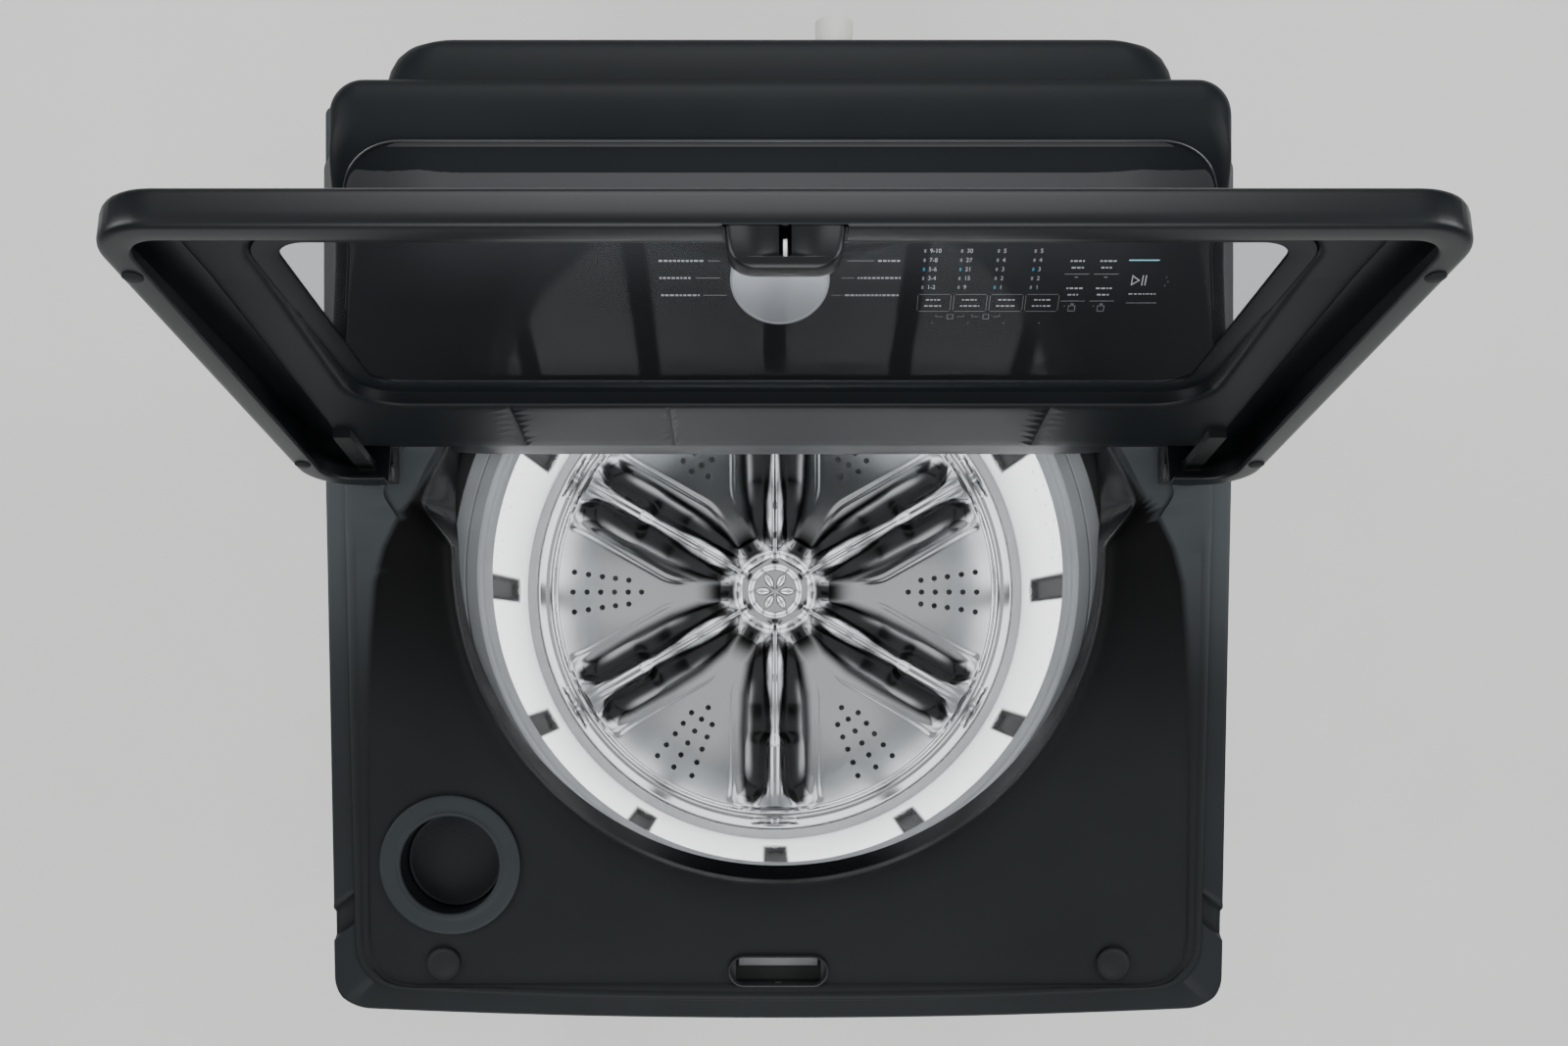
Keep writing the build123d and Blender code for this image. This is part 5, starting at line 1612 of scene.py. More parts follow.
            dim += [(x - 1.0, x + 4.0, 89.0, 89.3), (x + 14.0, x + 19.0, 89.0, 89.3),
                    (x - 1.0, x - 0.7, 89.3, 91.0),
                    (x + 18.7, x + 19.0, 89.3, 91.0), (x + 7.0, x + 11.4, 87.2, 87.6),
                    (x + 7.0, x + 7.4, 87.6, 91.0),
                    (x + 11.0, x + 11.4, 87.6, 91.0), (x + 7.0, x + 11.4, 90.7, 91.0)]
        for x in (206.5, 227.0):
            for v in (129.6, 108.8):
                grey += self._words(x - 5.6, x + 5.6, v + 2.6, 3.6) + self._words(x - 4.2, x + 4.2, v - 2.4,
                                                                                  3.6)
                dim += [(x - 8.6, x + 8.6, v - 7.5, v - 7.1), (x - 1.1, x + 1.1, v - 10.0, v - 9.3)]
            dim += [(x - 2.5, x + 2.5, 93.4, 93.8), (x - 2.5, x - 2.1, 93.8, 98.0),
                    (x + 2.1, x + 2.5, 93.8, 98.0),
                    (x - 2.5, x + 2.5, 97.6, 98.0), (x - 5.6, x - 4.9, 97.2, 97.9)]
        grey += [(252.6, 253.4, 113.6, 121.4), (254.8, 255.6, 113.6, 121.4)] + self._words(245.0, 264.0,
                                                                                           107.0, 2.4)
        dim += [(244.4, 265.6, 99.8, 100.2), (269.0, 269.7, 113.0, 113.7), (270.6, 271.3, 116.2, 116.9),
                (269.0, 269.7, 119.4, 120.1)]
        self._printed("panel_labels", grey, PRINT_GREY, "gloss_black")
        self._printed("panel_lines", dim, PRINT_DIM, "gloss_black")
        self._printed("panel_lamps_off", lamps, PRINT_DIM, "gloss_black")
        self._printed("panel_lamps_on", lit, LAMP_BLUE, "gloss_black")
        self._printed("panel_light_bar", [(241.2, 262.2, 132.4, 133.2)], LAMP_CYAN, "gloss_black")
        self._numbers(numbers)
        self._play_mark()

    def _play_mark(self) -> None:
        """Outlined triangle of the start key."""
        outer = np.array([(245.4, 113.4), (251.4, 117.5), (245.4, 121.6)])
        centre = outer.mean(axis=0)
        inner = centre + (outer - centre) * 0.66
        rings = [np.column_stack([line, np.full(3, z)]) * MM
                 for line, z in ((outer, 0.02), (outer, 0.09), (inner, 0.09), (inner, 0.02))]
        verts, faces = loft(rings, loop=True)
        mark = new_mesh("panel_start_mark", verts, faces, PRINT_GREY)
        mark.data.transform(self.frame())
        Piece("cabinet", "gloss_black").place(mark)

    def _knob(self) -> None:
        """Turned knob: grooved face, bright bevel, ribbed skirt and pointer line."""
        count = 240
        a = np.linspace(0, 2 * math.pi, count, endpoint=False)
        profile = [(7.0, -9.8), (7.0, 0.9), (32.0, 0.9), (33.2, 1.6), (33.6, 3.0), (33.6, 16.0), (33.4, 18.6),
                   (33.9, 19.2), (33.9, 19.9), (32.9, 21.4), (32.3, 21.9), (31.6, 21.9)]
        for k in range(36):
            r = 31.2 - k * 0.82
            profile.append((r, 21.72 + (0.06 if k % 2 else -0.04)))
        profile.append((0.9, 21.7))
        rings = []
        for r, z in profile:
            rib = 0.0 if not 2.5 < z < 17.0 or r < 30 else 0.28
            radius = r - rib * (0.5 + 0.5 * np.cos(a * 60))
            rings.append(np.column_stack([radius * np.cos(a), radius * np.sin(a) + self.knob_up,
                                          np.full(count, z)]) * MM)
        verts, faces = loft(rings, cap_first=True, cap_last=True)
        knob = new_mesh("dial", verts, faces, KNOB_TURNED, 25)
        knob.data.transform(self.frame())
        Piece("knob", "knob_metal", ("program_knob",)).place(knob)
        mark = block("dial_mark", (1.6, 9.0, 0.3), (0, self.knob_up + 25.5, 21.8), 0.1, RUBBER)
        mark.data.transform(self.frame())
        Piece("knob", "knob_metal").place(mark)

    def _rear(self) -> None:
        """Narrower rear section with rounded shoulders, drawn in toward the rear."""
        y0, y1 = PLACE.tub_y + self.back_y, PLACE.back_y
        rings = []
        for f, inset, top in ((0.0, 2.0, 0.0), (0.0, 0.0, 0.0), (0.25, 0.6, 0.4), (0.5, 2.6, 1.4),
                              (0.72, 6.0, 3.2),
                              (0.88, 10.5, 6.0), (0.97, 16.0, 9.6), (1.0, 22.0, 13.5)):
            half = 270.0 - inset
            height = 130.0 - top
            line = box_outline(half, 0.0, height, 1.2, 0.0, 12, 36.0)
            rings.append(np.column_stack([line[:, 0], np.full(len(line), y0 + (y1 - y0) * f),
                                          line[:, 1] + PLACE.deck_z]) * MM)
        verts, faces = loft(rings, cap_first=True, cap_last=True)
        cover = new_mesh("console_back", verts, faces, CONSOLE_SATIN, 40)
        for x, z, r in ((38.0, 1060.0, 14.7), (38.0, 1015.0, 14.7), (-210.0, 1020.0, 8.2)):
            cut(cover, self._bore(x, z, r, y1))
        Piece("cabinet", "black_plastic", ("console_rear_cover",)).place(cover)

    def _bore(self, x: float, z: float, radius: float, y: float) -> bpy.types.Object:
        """Cutter for a round hole through the rear face."""
        tool = spin([(0, -9), (radius, -9), (radius, 9), (0, 9)], Vector((0, 0, 0)), 64, False, "cutter",
                    CONSOLE_SATIN)
        tool.data.transform(moved(x, y, z) @ Matrix.Rotation(math.pi / 2, 4, "X"))
        return tool


# ---------------------------------------------------------------- drum
@dataclass
class WashPlate:
    """Polished wash plate: six vanes, six drilled fans, rim and capped hub.

    Args:
        radius: Plate radius; not used.
        hub_r: Radius of the hub's ring; not used.
        vane_h: Height of a vane above the dish.
        flank: Half width of a vane with its flanks.
        hole_r: Radius of a drain hole.
        segments: Steps round the plate.
    """

    radius: float = 262.0
    hub_r: float = 38.8
    vane_h: float = 21.0
    flank: float = 47.0
    hole_r: float = 3.0
    segments: int = 720

    def build(self) -> None:
        """Build and place the plate and its cap."""
        plate = self._plate()
        cut_many(plate, self._holes())
        # Paint shade, dark reflections and a highlight streak into the plate's shade attribute.
        paint_shade(plate, self._shade)
        Piece("wash_drive", "wash_chrome", ("wash_plate",)).place(plate)
        self._cap()
        LOG.info("wash plate built")

    @property
    def base(self) -> float:
        """World height of the plate's reference plane."""
        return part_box("wash_plate")[0].z / MM + 10.0

    def _height(self, r: np.ndarray, angle: np.ndarray) -> np.ndarray:
        """Height of the plate's upper surface.

        Args:
            r: Distance from the axis.
            angle: Angle round the axis.

        Returns:
            Heights above the reference plane.
        """
        pitch = math.pi / 3
        off = (angle - math.pi / 6 + pitch / 2) % pitch - pitch / 2
        s, t = r * np.cos(off), np.abs(r * np.sin(off))
        dish = -4.0 + 2.0 * np.clip((r - 60) / 180, 0, 1)
        rim = smooth(r, 241.0, 246.5)
        dish = dish * (1 - rim) + 3.2 * rim + 0.8 * smooth(r, 250, 253) - 1.0 * smooth(r, 259.5, 262)
        bar = smooth(s, 152.0, 172.0)
        flare = smooth(s, 212.0, 238.0)
        top = 1.7 + bar * 7.6 + flare * 12.0
        flank = self.flank * (0.42 + 0.58 * smooth(r, 44.0, 128.0)) + flare * 2.0
        reach = np.clip((flank - t) / np.maximum(flank - top, 1.0), 0, 1)
        curve = np.where(t < top, 1.0, reach ** 2.2)
        valley = -3.6 * np.sin(np.clip((t - top) / np.maximum(flank - top, 1.0), 0, 1) * math.pi) ** 1.2
        valley = valley * smooth(r, 70, 120) * (1 - smooth(r, 205, 232)) * (t < flank)
        rise = self.vane_h * (1 - 0.16 * bar) * (1 - smooth(s, 236.5, 240.0)) * smooth(r, 30.0, 62.0)
        groove = -1.6 * np.exp(-((t - 5.5) / 2.2) ** 2) * bar * (1 - flare)
        slot = -5.0 * smooth(s, 249.5, 250.5) * (1 - smooth(s, 255.5, 256.5)) * (t < 24) * (t > 3)
        vane = rise * curve + valley + groove * curve + slot
        hub = 18.0 * (1 - smooth(r, 34.0, 66.0)) ** 1.4
        fold = 1.1 * np.exp(-((t - flank) / 2.6) ** 2) * smooth(r, 90, 130) * (1 - smooth(r, 232, 240))
        return dish + np.maximum(vane, -6.0) + hub - fold

    def _shade(self, points: np.ndarray) -> np.ndarray:
        """Painted shade and dark reflections in the polished hollows beside the vanes, lifted along a painted
        highlight streak, with painted shade at the fans' tips, along the fine grooves and edges, and softly
        over the fans' sides.

        Args:
            points: Points in millimetres.

        Returns:
            Darkness of each point.
        """
        x, y = points[:, 0], points[:, 1] - PLACE.tub_y
        r, angle, pitch = np.hypot(x, y), np.arctan2(y, x), math.pi / 3
        off = (angle - math.pi / 6 + pitch / 2) % pitch - pitch / 2
        s, t = r * np.cos(off), np.abs(r * np.sin(off))
        fan = np.abs((angle + pitch / 2) % pitch - pitch / 2) * r
        inner = np.interp(s, (44, 60, 78, 100, 125, 150, 163, 205, 222, 238),
                          (2.5, 4, 8, 8, 4, 2.5, 3.5, 4.5, 8, 27))
        outer = np.interp(r, (44, 60, 85, 120, 160, 210, 240), (18, 27, 36, 42, 44, 43, 39))
        lobe = smooth(t, inner - 1.0, inner + 2.4) * (1 - smooth(t, outer - 10.0, outer + 1.0))
        lobe = lobe * smooth(r, 46, 62) * (1 - smooth(s, 231, 240))
        highlight_streak = 0.26 * np.exp(-((t - outer + 13.0) / 3.6) ** 2) * smooth(r, 95,
                                                                          125) * (1 - smooth(r, 190, 215))
        tip = smooth(r, 41, 47) * (1 - smooth(r, 62, 92)) * (1 - smooth(fan, 5, 20))
        lines = 0.75 * np.exp(-((t - 2.9) / 0.9) ** 2) * (r > 42) * (1 - smooth(s, 150, 160))
        lines += 0.7 * np.exp(-((r - 41.5) / 1.4) ** 2) + 0.9 * np.exp(-((r - 247.6) / 0.9) ** 2)
        lines += 0.75 * np.exp(-((s - 241.0) / 1.2) ** 2) * (t < 27) + 0.8 * smooth(r, 259.5, 262)
        for edge in (250.0, 256.0):
            lines += 0.6 * np.exp(-((s - edge) / 0.9) ** 2) * (t < 25)
        soft = 0.28 * smooth(fan, 18, 60) * smooth(r, 80, 140) * (1 - smooth(r, 236, 246))
        return np.maximum(lobe - highlight_streak, np.maximum(tip, np.maximum(lines, soft)))

    def _plate(self) -> bpy.types.Object:
        """Return the plate as one closed shell."""
        a = np.linspace(-math.pi, math.pi, self.segments, endpoint=False)
        radii = np.concatenate([np.linspace(9.0, 30, 5), np.linspace(31.5, 60, 18),
                                np.linspace(62.5, 235, 84),
                                np.linspace(236, 247, 14), np.linspace(247.8, 258, 12),
                                np.linspace(258.8, 261.2, 4), [261.8, 262.0]])
        centre = PLACE.tub(self.base)
        rings = []

        def ring(r: float, z: np.ndarray | float) -> Ring:
            """Return a ring of the plate in metres."""
            return np.column_stack([centre.x / MM + r * np.cos(a), centre.y / MM + r * np.sin(a),
                                    np.zeros(len(a)) + self.base + z]) * MM

        for r in radii:
            rings.append(ring(float(r), self._height(np.full(len(a), r), a)))
        rings += [ring(262.0, 0.5), ring(262.0, -8.6), ring(261.0, -9.8), ring(150.0, -9.8), ring(60.0, -9.8),
                  ring(30.0, -8.0), ring(9.0, -8.0)]
        verts, faces = loft(rings, loop=True)
        return new_mesh("impeller", verts, faces, WASH_CHROME, 50)

    def _holes(self) -> bpy.types.Object:
        """Return the cutters of the drain holes, set out by geometry nodes."""
        rows = [(148.2, 0.0), (163.0, 0.0), (178.2, 0.0), (193.5, 0.0), (208.7, 0.0), (224.2, 0.0)]
        for x, y in ((162.3, 13.2), (177.1, 15.2), (191.6, 17.1), (207.1, 19.5), (222.6, 22.1)):
            rows += [(x, y), (x, -y)]
        points = []
        for k in range(6):
            c, s = math.cos(k * math.pi / 3), math.sin(k * math.pi / 3)
            points += [((x * c - y * s) * MM, (x * s + y * c) * MM + PLACE.tub_y * MM, (self.base - 3.0) * MM)
                       for x, y in rows]
        return scatter("cutter", points, Repeat(self.hole_r * MM, 40 * MM, 20, WASH_CHROME))

    def _cap(self) -> None:
        """Hub cap: raised ring, six petals and a small button."""
        count = 288
        a = np.linspace(0, 2 * math.pi, count, endpoint=False)
        z0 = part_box("wash_cap")[0].z / MM

        def face(r: float) -> np.ndarray:
            """Return the cap's height at each angle."""
            off = (a + math.pi / 6) % (math.pi / 3) - math.pi / 6
            across = np.abs(r * np.sin(off))
            span = np.clip((r * np.cos(off) - 4.0) / 18.0, 0, 1)
            width = 3.9 * np.sin(span * math.pi) ** 0.8 + 1e-3
            inside = np.clip(1 - across / width, 0, 1) * (0 < span) * (span < 1)
            petal = 1.5 * np.minimum(inside * 3.0, 1.0) - 1.1 * np.clip(inside * 2 - 0.5, 0, 1)
            ridge = 1.2 * math.exp(-((r - 24.8) / 1.0) ** 2)
            return 5.2 + petal + ridge + 1.2 * (1 - smooth(r, 2.4, 3.6)) - 0.6 * smooth(r, 26, 28.6)

        rings = []
        for r, z in ((26.0, 0.0), (29.3, 0.0), (29.3, 3.4), (28.9, 4.3)):
            rings.append((r, np.full(count, z)))
        for r in np.concatenate([[28.2, 27.2], np.linspace(26.2, 1.0, 64)]):
            rings.append((float(r), face(float(r))))
        rows = [np.column_stack([r * np.cos(a), PLACE.tub_y + r * np.sin(a), z0 + z]) * MM for r, z in rings]
        rows = [np.column_stack([26.0 * np.cos(a), PLACE.tub_y + 26.0 * np.sin(a),
                                 np.full(count, z0 + 3.6)]) * MM,
                *rows]
        verts, faces = loft(rows, cap_first=True, cap_last=True)
        cap = new_mesh("hub_cap", verts, faces, WASH_CHROME, 35)

        def cap_edge_shade(points: np.ndarray) -> np.ndarray:
            """Return the painted shade along the cap's petal edges and rims."""
            x, y = points[:, 0], points[:, 1] - PLACE.tub_y
            r, turn = np.hypot(x, y), np.arctan2(y, x)
            off = (turn + math.pi / 6) % (math.pi / 3) - math.pi / 6
            span = np.clip((r * np.cos(off) - 4.0) / 18.0, 0, 1)
            edge = np.abs(np.abs(r * np.sin(off)) - 3.9 * np.sin(span * math.pi) ** 0.8)
            petal = np.exp(-(edge / 0.7) ** 2) * (span > 0) * (span < 1)
            rims = 0.85 * np.exp(-((r - 26.8) / 0.8) ** 2) + 0.6 * np.exp(-((r - 23.2) / 0.7) ** 2)
            return np.maximum(0.9 * petal, rims)

        # Paint shade along the cap's petal edges and rims.
        paint_shade(cap, cap_edge_shade)
        Piece("wash_drive", "wash_chrome", ("wash_cap",)).place(cap)


def smooth(value: np.ndarray | float, low: float, high: float) -> np.ndarray | float:
    """Ease from 0 at low to 1 at high."""
    t = np.clip((np.asarray(value, dtype=float) - low) / (high - low), 0, 1)
    return t * t * (3 - 2 * t)


@dataclass(frozen=True)
class Repeat:
    """A small cylinder that geometry nodes repeat.

    Args:
        radius: Its radius, in metres.
        depth: Its length.
        sides: Steps round it.
        finish: Its finish.
    """

    radius: float
    depth: float
    sides: int
    finish: Finish

    def tree(self) -> bpy.types.NodeTree:
        """Return the node group that puts one cylinder on each point, along the point's normal."""
        group = bpy.data.node_groups.new("repeat", "GeometryNodeTree")
        group.interface.new_socket("Geometry", in_out="INPUT", socket_type="NodeSocketGeometry")
        group.interface.new_socket("Radius", in_out="INPUT", socket_type="NodeSocketFloat")
        group.interface.new_socket("Depth", in_out="INPUT", socket_type="NodeSocketFloat")
        group.interface.new_socket("Geometry", in_out="OUTPUT", socket_type="NodeSocketGeometry")
        nodes, links = group.nodes, group.links
        source, sink = nodes.new("NodeGroupInput"), nodes.new("NodeGroupOutput")
        points = nodes.new("GeometryNodeMeshToPoints")
        align = nodes.new("FunctionNodeAlignRotationToVector")
        align.axis = "Z"
        attribute = nodes.new("GeometryNodeInputNamedAttribute")
        attribute.data_type = "FLOAT_VECTOR"
        attribute.inputs["Name"].default_value = "along"
        instance = nodes.new("GeometryNodeInstanceOnPoints")
        cylinder = nodes.new("GeometryNodeMeshCylinder")
        cylinder.inputs["Vertices"].default_value = self.sides
        realize = nodes.new("GeometryNodeRealizeInstances")
        dress = nodes.new("GeometryNodeSetMaterial")
        dress.inputs["Material"].default_value = self.finish.material()
        links.new(source.outputs["Geometry"], points.inputs["Mesh"])
        links.new(points.outputs["Points"], instance.inputs["Points"])
        links.new(source.outputs["Radius"], cylinder.inputs["Radius"])
        links.new(source.outputs["Depth"], cylinder.inputs["Depth"])
        links.new(cylinder.outputs["Mesh"], instance.inputs["Instance"])
        links.new(attribute.outputs["Attribute"], align.inputs["Vector"])
        links.new(align.outputs["Rotation"], instance.inputs["Rotation"])
        links.new(instance.outputs["Instances"], realize.inputs["Geometry"])
        links.new(realize.outputs["Geometry"], dress.inputs["Geometry"])
        links.new(dress.outputs["Geometry"], sink.inputs["Geometry"])
        return group


def scatter(name: str, points: Sequence[tuple[float, float, float]], repeat: Repeat,
            along: Sequence[tuple[float, float, float]] | None = None) -> bpy.types.Object:
    """Repeat a small cylinder over points, as one plain mesh.

    Args:
        name: Piece name.
        points: Places, in metres.
        repeat: What is repeated.
        along: Direction of each, up if left out.

    Returns:
        The new object.
    """
    mesh = bpy.data.meshes.new(name)
    mesh.from_pydata(list(points), [], [])
    ways = along if along is not None else [(0.0, 0.0, 1.0)] * len(points)
    layer = mesh.attributes.new("along", "FLOAT_VECTOR", "POINT")
    layer.data.foreach_set("vector", np.array(ways, dtype=float).ravel())
    obj = bpy.data.objects.new(name, mesh)
    bpy.context.scene.collection.objects.link(obj)
    modifier = obj.modifiers.new("repeat", "NODES")
    modifier.node_group = repeat.tree()
    sockets = {s.name: s.identifier for s in modifier.node_group.interface.items_tree if s.in_out == "INPUT"}
    modifier[sockets["Radius"]] = repeat.radius
    modifier[sockets["Depth"]] = repeat.depth
    settle(obj)
    return obj


def cut_many(obj: bpy.types.Object, tool: bpy.types.Object) -> None:
    """Subtract many separate closed cutters at once.

    Args:
        obj: Closed object to cut.
        tool: The cutters in one mesh.
    """
    modifier = obj.modifiers.new("cut", "BOOLEAN")
    modifier.object = tool
    modifier.operation = "DIFFERENCE"
    modifier.solver = "MANIFOLD"
    settle(obj)
    bpy.data.objects.remove(tool)
    obj.data.shade_smooth()
    obj.data.set_sharp_from_angle(angle=math.radians(50))


@dataclass
class Basket:
    """Basket wall with flutes and drilled rows, its floor ring and the balance ring.

    Args:
        radius: Inner radius of the wall.
        thickness: Wall thickness.
        flutes: Number of flutes.
        flute_w: Half width of a flute.
        flute_out: How far a flute is pressed out.
        foot_z: Round lower end of the flutes above the basket's floor.
        drill_z: Lowest drilled row above the basket's floor.
        drill_r: Radius of a drilled hole.
        drill_rows: Rows of holes between two flutes.
        drill_columns: Holes in a row.
    """

    radius: float = 275.0
    thickness: float = 1.2
    flutes: int = 12
    flute_w: float = 14.5
    flute_out: float = 8.0
    foot_z: float = 64.0
    drill_z: float = 190.0
    drill_r: float = 1.6
    drill_rows: int = 10
    drill_columns: int = 3

    def build(self) -> None:
        """Build and place the basket, its floor ring and the balance ring."""
        self._wall()
        self._base()
        self._ring()
        LOG.info("basket built")

    def _wall(self) -> None:
        """Steel wall with flutes and drilled rows between them."""
        low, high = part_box("basket")
        z0, z1 = low.z / MM, high.z / MM
        step = 360 / self.flutes
        a = np.radians(np.unique(np.round(np.concatenate(
            [np.arange(0, 360, 1.5), *[np.arange(step * k - 4, step * k + 4,
                                                 0.25) % 360 for k in range(self.flutes)]]), 3)))
        pitch = 2 * math.pi / self.flutes
        off = ((a + pitch / 2) % pitch) - pitch / 2
        arc = np.abs(off) * self.radius
        foot = z0 + self.foot_z
        heights = np.unique(np.concatenate([[z0], np.linspace(z0, foot - 18, 8),
                                            np.linspace(foot - 18, foot + 16, 18),
                                            np.linspace(foot + 16, z1 - 40, 12),
                                            np.linspace(z1 - 40, z1, 6)]))

        def wall(z: float, outer: bool) -> Ring:
            """Return a ring of the wall in metres."""
            reach = np.where(z > foot, arc, np.hypot(arc, foot - z))
            depth = self.flute_out * (1 - smooth(reach, self.flute_w - 8.0, self.flute_w))
            depth = depth * (1 - smooth(z, z1 - 90, z1 - 60))
            r = self.radius + depth + (self.thickness if outer else 0.0)
            return np.column_stack([r * np.cos(a), PLACE.tub_y + r * np.sin(a), np.full(len(a), z)]) * MM

        rings = [wall(float(z), False) for z in heights] + [wall(float(z), True) for z in heights[::-1]]
        verts, faces = loft(rings, loop=True)
        drum = new_mesh("drum_wall", verts, faces, STEEL_WALL, 40)
        points, ways = [], []
        for k in range(self.flutes):
            for row in range(self.drill_rows):
                for col in range(self.drill_columns):
                    turn = pitch * k + pitch / 2 + (col - 1) * 0.125 + (0.0625 if row % 2 else 0.0) - 0.03
                    z = z0 + self.drill_z + row * 20.0
                    points.append((self.radius * MM * math.cos(turn),
                                   PLACE.tub_y * MM + self.radius * MM * math.sin(turn),
                                   z * MM))
                    ways.append((math.cos(turn), math.sin(turn), 0.0))
        cut_many(drum, scatter("cutter", points, Repeat(self.drill_r * MM, 12 * MM, 12, STEEL_WALL), ways))

        def flute(points: np.ndarray) -> np.ndarray:
            """Return the painted shade in the flutes' hollows."""
            turn = np.arctan2(points[:, 1] - PLACE.tub_y, points[:, 0])
            across = np.abs((turn + pitch / 2) % pitch - pitch / 2) * self.radius
            reach = np.where(points[:, 2] > foot, across, np.hypot(across, foot - points[:, 2]))
            return 1 - smooth(reach, self.flute_w - 3.5, self.flute_w - 0.5)

        # Paint shade into the hollows of the flutes.
        paint_shade(drum, flute)
        Piece("basket", "stainless", ("basket",)).place(drum)

    def _base(self) -> None:
        """Floor ring around the wash plate, with its dark gap."""
        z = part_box("basket_base")[1].z / MM
        ring = spin([(264.6, -0.2), (265.4, 0.0), (266.6, 0.25), (272.5, 0.25), (274.4, 0.1), (274.6, -1.0),
                     (274.6, -11.0), (264.6, -11.0)], PLACE.tub(z - 0.3), 288, True, "floor_ring", STEEL_WALL,
                     30)
        Piece("basket", "stainless").place(ring)

    def _ring(self) -> None:
        """Balance ring with grooves and rounded lips."""
        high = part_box("balance_ring")[1]
        section = [(239.2, 0.0), (241.2, -0.05), (247.6, -0.1), (248.2, -0.9), (249.0, -0.9), (249.6, -0.1),
                   (261.6, 0.0), (262.2, -1.3), (263.4, -1.3), (264.0, 0.0), (270.6, 0.0), (273.6, -0.4),
                   (274.7, -1.8), (274.7, -49.0), (273.6, -50.0), (241.4, -50.0), (238.2, -49.2),
                   (235.9, -46.4),
                   (235.1, -42.6), (235.0, -24.0), (235.0, -12.6), (235.3, -11.8), (236.4, -11.0),
                   (236.9, -10.2),
                   (237.0, -5.4), (237.2, -3.2), (237.8, -1.2)]
        ring = spin(section, PLACE.tub(high.z / MM), 288, True, "brine_ring", RING_GREY, 35)
        Piece("basket", "ring_plastic", ("balance_ring",)).place(ring)


# ---------------------------------------------------------------- frame pieces that keep their shape
@dataclass(frozen=True)
class Dress:
    """Finishes for the frame's own pieces that keep their shape."""

    finishes: tuple[tuple[str, Finish], ...]

    def apply(self) -> None:
        """Give each node its finish."""
        for node, finish in self.finishes:
            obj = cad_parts[node]
            obj.data.materials.clear()
            obj.data.materials.append(finish.material())
        LOG.info("frame pieces dressed")


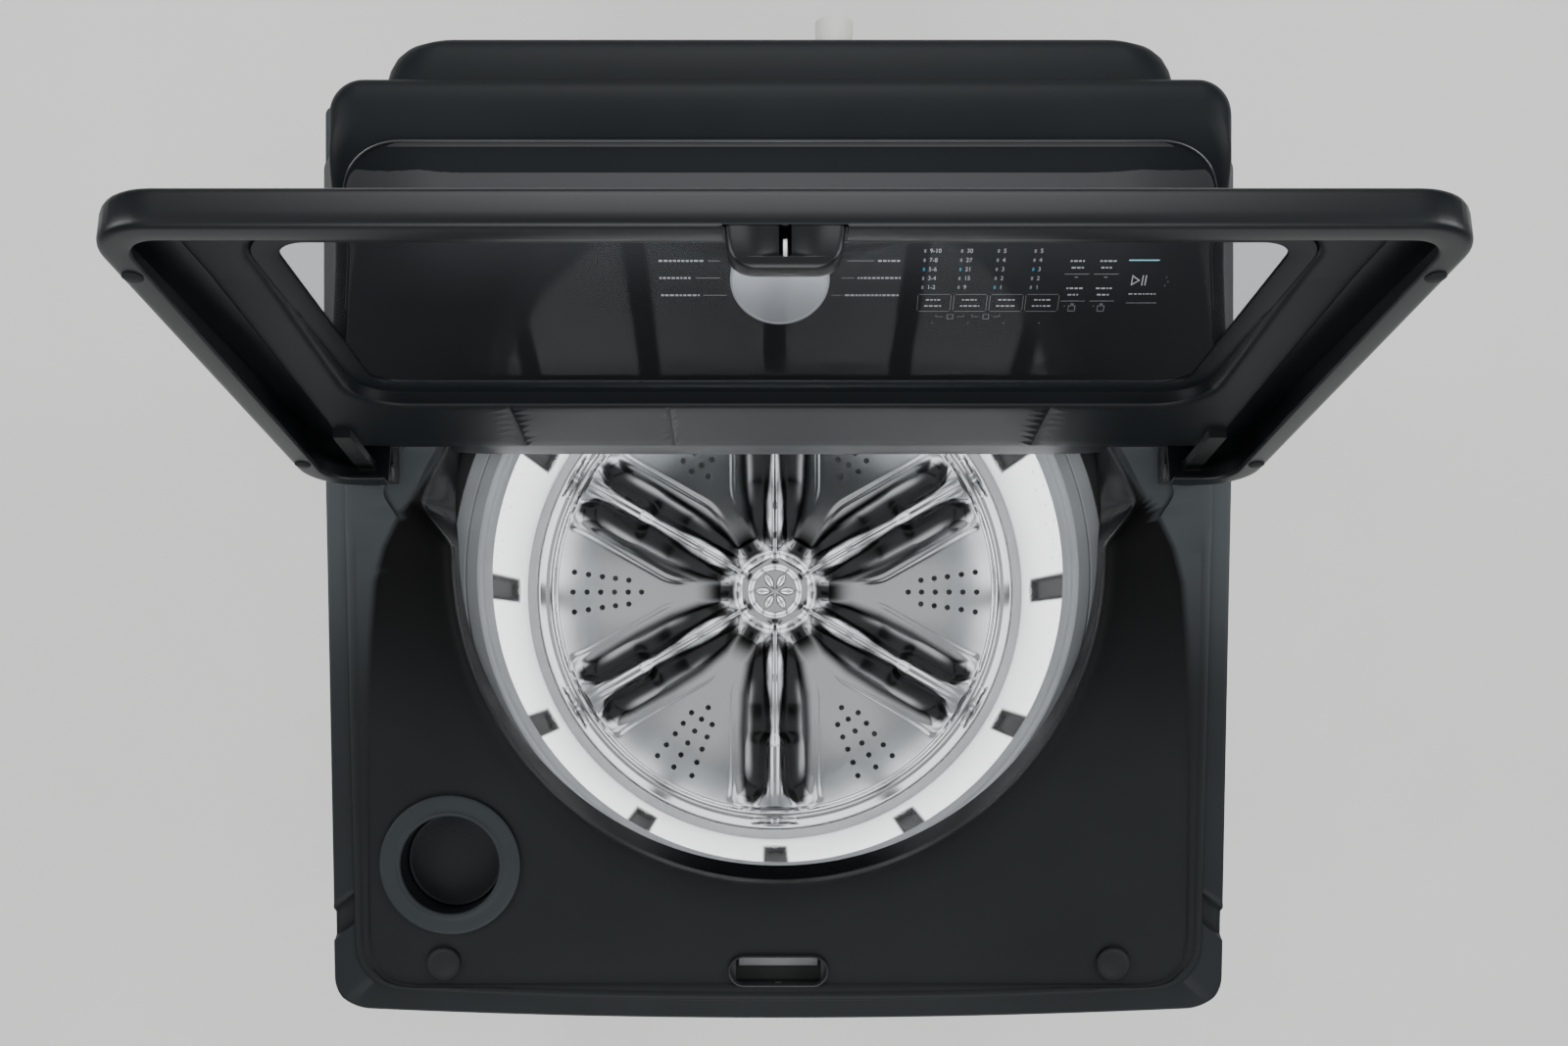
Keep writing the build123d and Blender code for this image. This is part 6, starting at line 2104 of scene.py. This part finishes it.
# ---------------------------------------------------------------- stage, light and camera
@dataclass
class Studio:
    """Pale floor, soft lights and the straight-down camera.

    Args:
        lens: Focal length in millimetres.
        spot: Camera place, in metres.
        shift: Sideways and upward shift of the view.
        fill: Power of the fill inside the drum, in watts.
    """

    lens: float = 33.05
    spot: tuple[float, float, float] = (-0.0087, -0.0635, 2.065)
    shift: tuple[float, float] = (0.0108, 0.0716)
    fill: float = 8.0

    def build(self) -> None:
        """Build the stage, the lights and the camera."""
        self._floor()
        world = bpy.data.worlds.new("studio")
        bpy.context.scene.world = world
        world.use_nodes = True
        world.node_tree.nodes["Background"].inputs["Color"].default_value = (0.86, 0.88, 0.92, 1.0)
        world.node_tree.nodes["Background"].inputs["Strength"].default_value = 0.10
        self._light("overhead", (0.0, -0.15, 3.4), (0, 0, 0), 3.2, 16.0)
        self._light("front", (0.0, -2.2, 2.4), (math.radians(48), 0, 0), 1.8, 62.0)
        self._light("left", (-2.1, 0.2, 2.3), (0, math.radians(-46), 0), 1.4, 42.0)
        self._light("right", (2.1, 0.2, 2.3), (0, math.radians(46), 0), 1.4, 46.0)
        self._light("rear", (0.0, 2.3, 2.5), (math.radians(-46), 0, 0), 1.8, 56.0)
        self._drum_fill()
        data = bpy.data.cameras.new("camera")
        data.lens = self.lens
        data.sensor_width = 36.0
        data.shift_x, data.shift_y = self.shift
        camera = bpy.data.objects.new("camera", data)
        bpy.context.scene.collection.objects.link(camera)
        camera.location = self.spot
        bpy.context.scene.camera = camera
        LOG.info("studio built")

    def _drum_fill(self) -> None:
        """Soft fill inside the drum that reaches its wall and rings only."""
        data = bpy.data.lights.new("drum_fill", "POINT")
        data.energy = self.fill
        data.shadow_soft_size = 0.12
        obj = bpy.data.objects.new("drum_fill", data)
        obj.location = PLACE.tub(PLACE.deck_z - 300.0)
        obj.visible_camera = False
        obj.visible_glossy = False
        bpy.context.scene.collection.objects.link(obj)
        lit = bpy.data.collections.new("drum_lit")
        for name in ("drum_wall", "floor_ring"):
            lit.objects.link(bpy.data.objects[name])
        obj.light_linking.receiver_collection = lit

    def _floor(self) -> None:
        """Plain pale floor under the machine."""
        finish = Finish("floor_pale", (0.74, 0.74, 0.73), 0.7, scale=60.0, bump=0.02, tint=0.01)
        count = 64
        a = np.linspace(0, 2 * math.pi, count, endpoint=False)
        rings = [np.column_stack([r * np.cos(a), r * np.sin(a), np.full(count, z)]) for r, z in
                 ((0.5, -0.001), (4.0, -0.001), (9.0, -0.001), (9.0, -0.03), (0.5, -0.03))]
        verts, faces = loft(rings, cap_first=True, cap_last=True)
        new_mesh("floor", verts, faces, finish)

    def _light(self, name: str, spot: tuple[float, float, float], turn: tuple[float, float, float],
               size: float,
               power: float) -> None:
        """Add a soft square light.

        Args:
            name: Light name.
            spot: Place in metres.
            turn: Turn about each axis.
            size: Side length in metres.
            power: Power in watts.
        """
        data = bpy.data.lights.new(name, "AREA")
        data.size = size
        data.energy = power
        data.spread = math.pi
        obj = bpy.data.objects.new(name, data)
        obj.location = spot
        obj.rotation_euler = turn
        bpy.context.scene.collection.objects.link(obj)


DRESS = Dress((
    ("cabinet_wrap", CABINET_COAT), ("rear_panel", CABINET_COAT), ("base_frame", ZINC),
    ("levelling_feet", RUBBER),
    ("foot_locknuts", ZINC), ("lock_unit", TUB_DARK), ("lock_bolt", ZINC), ("lid_hinge_arms", TUB_DARK),
    ("hinge_pins", GROUND_STEEL), ("hinge_brackets", TUB_DARK), ("knob_encoder", TUB_DARK),
    ("control_board", BOARD),
    ("inlet_valve", NYLON), ("fill_hose", RUBBER), ("water_nozzle", TUB_DARK), ("cord_gland", RUBBER),
    ("outer_tub", TUB_GREY), ("tub_cover", TUB_DARK), ("suspension_rods", ZINC), ("spring_cups", NYLON),
    ("suspension_springs", ZINC), ("basket_base", TUB_GREY), ("spin_shaft", GROUND_STEEL),
    ("basket_bolts", ZINC),
    ("wash_bolt", ZINC), ("wash_shaft", GROUND_STEEL), ("bearing_housing", CAST_METAL),
    ("ball_bearings", GROUND_STEEL), ("shaft_seal", RUBBER), ("stator", COPPER), ("rotor", MOTOR_COAT),
    ("rotor_nut", ZINC), ("clutch_coupler", GROUND_STEEL), ("clutch_coil", COPPER), ("housing_bolts", ZINC),
    ("pump_housing", NYLON), ("pump_impeller", NYLON), ("pump_motor", MOTOR_COAT), ("sump_hose", RUBBER),
    ("drain_hose", RUBBER), ("drain_outlet", NYLON), ("cabinet_screws", ZINC),
))


def main() -> None:
    """Build every sub-assembly, then the studio."""
    logging.basicConfig(level=logging.INFO, format="%(message)s")
    for part in (Deck(), DeckFittings(), Lid(), Console(), WashPlate(), Basket()):
        part.build()
    DRESS.apply()
    Studio().build()


if __name__ == "__main__":
    main()
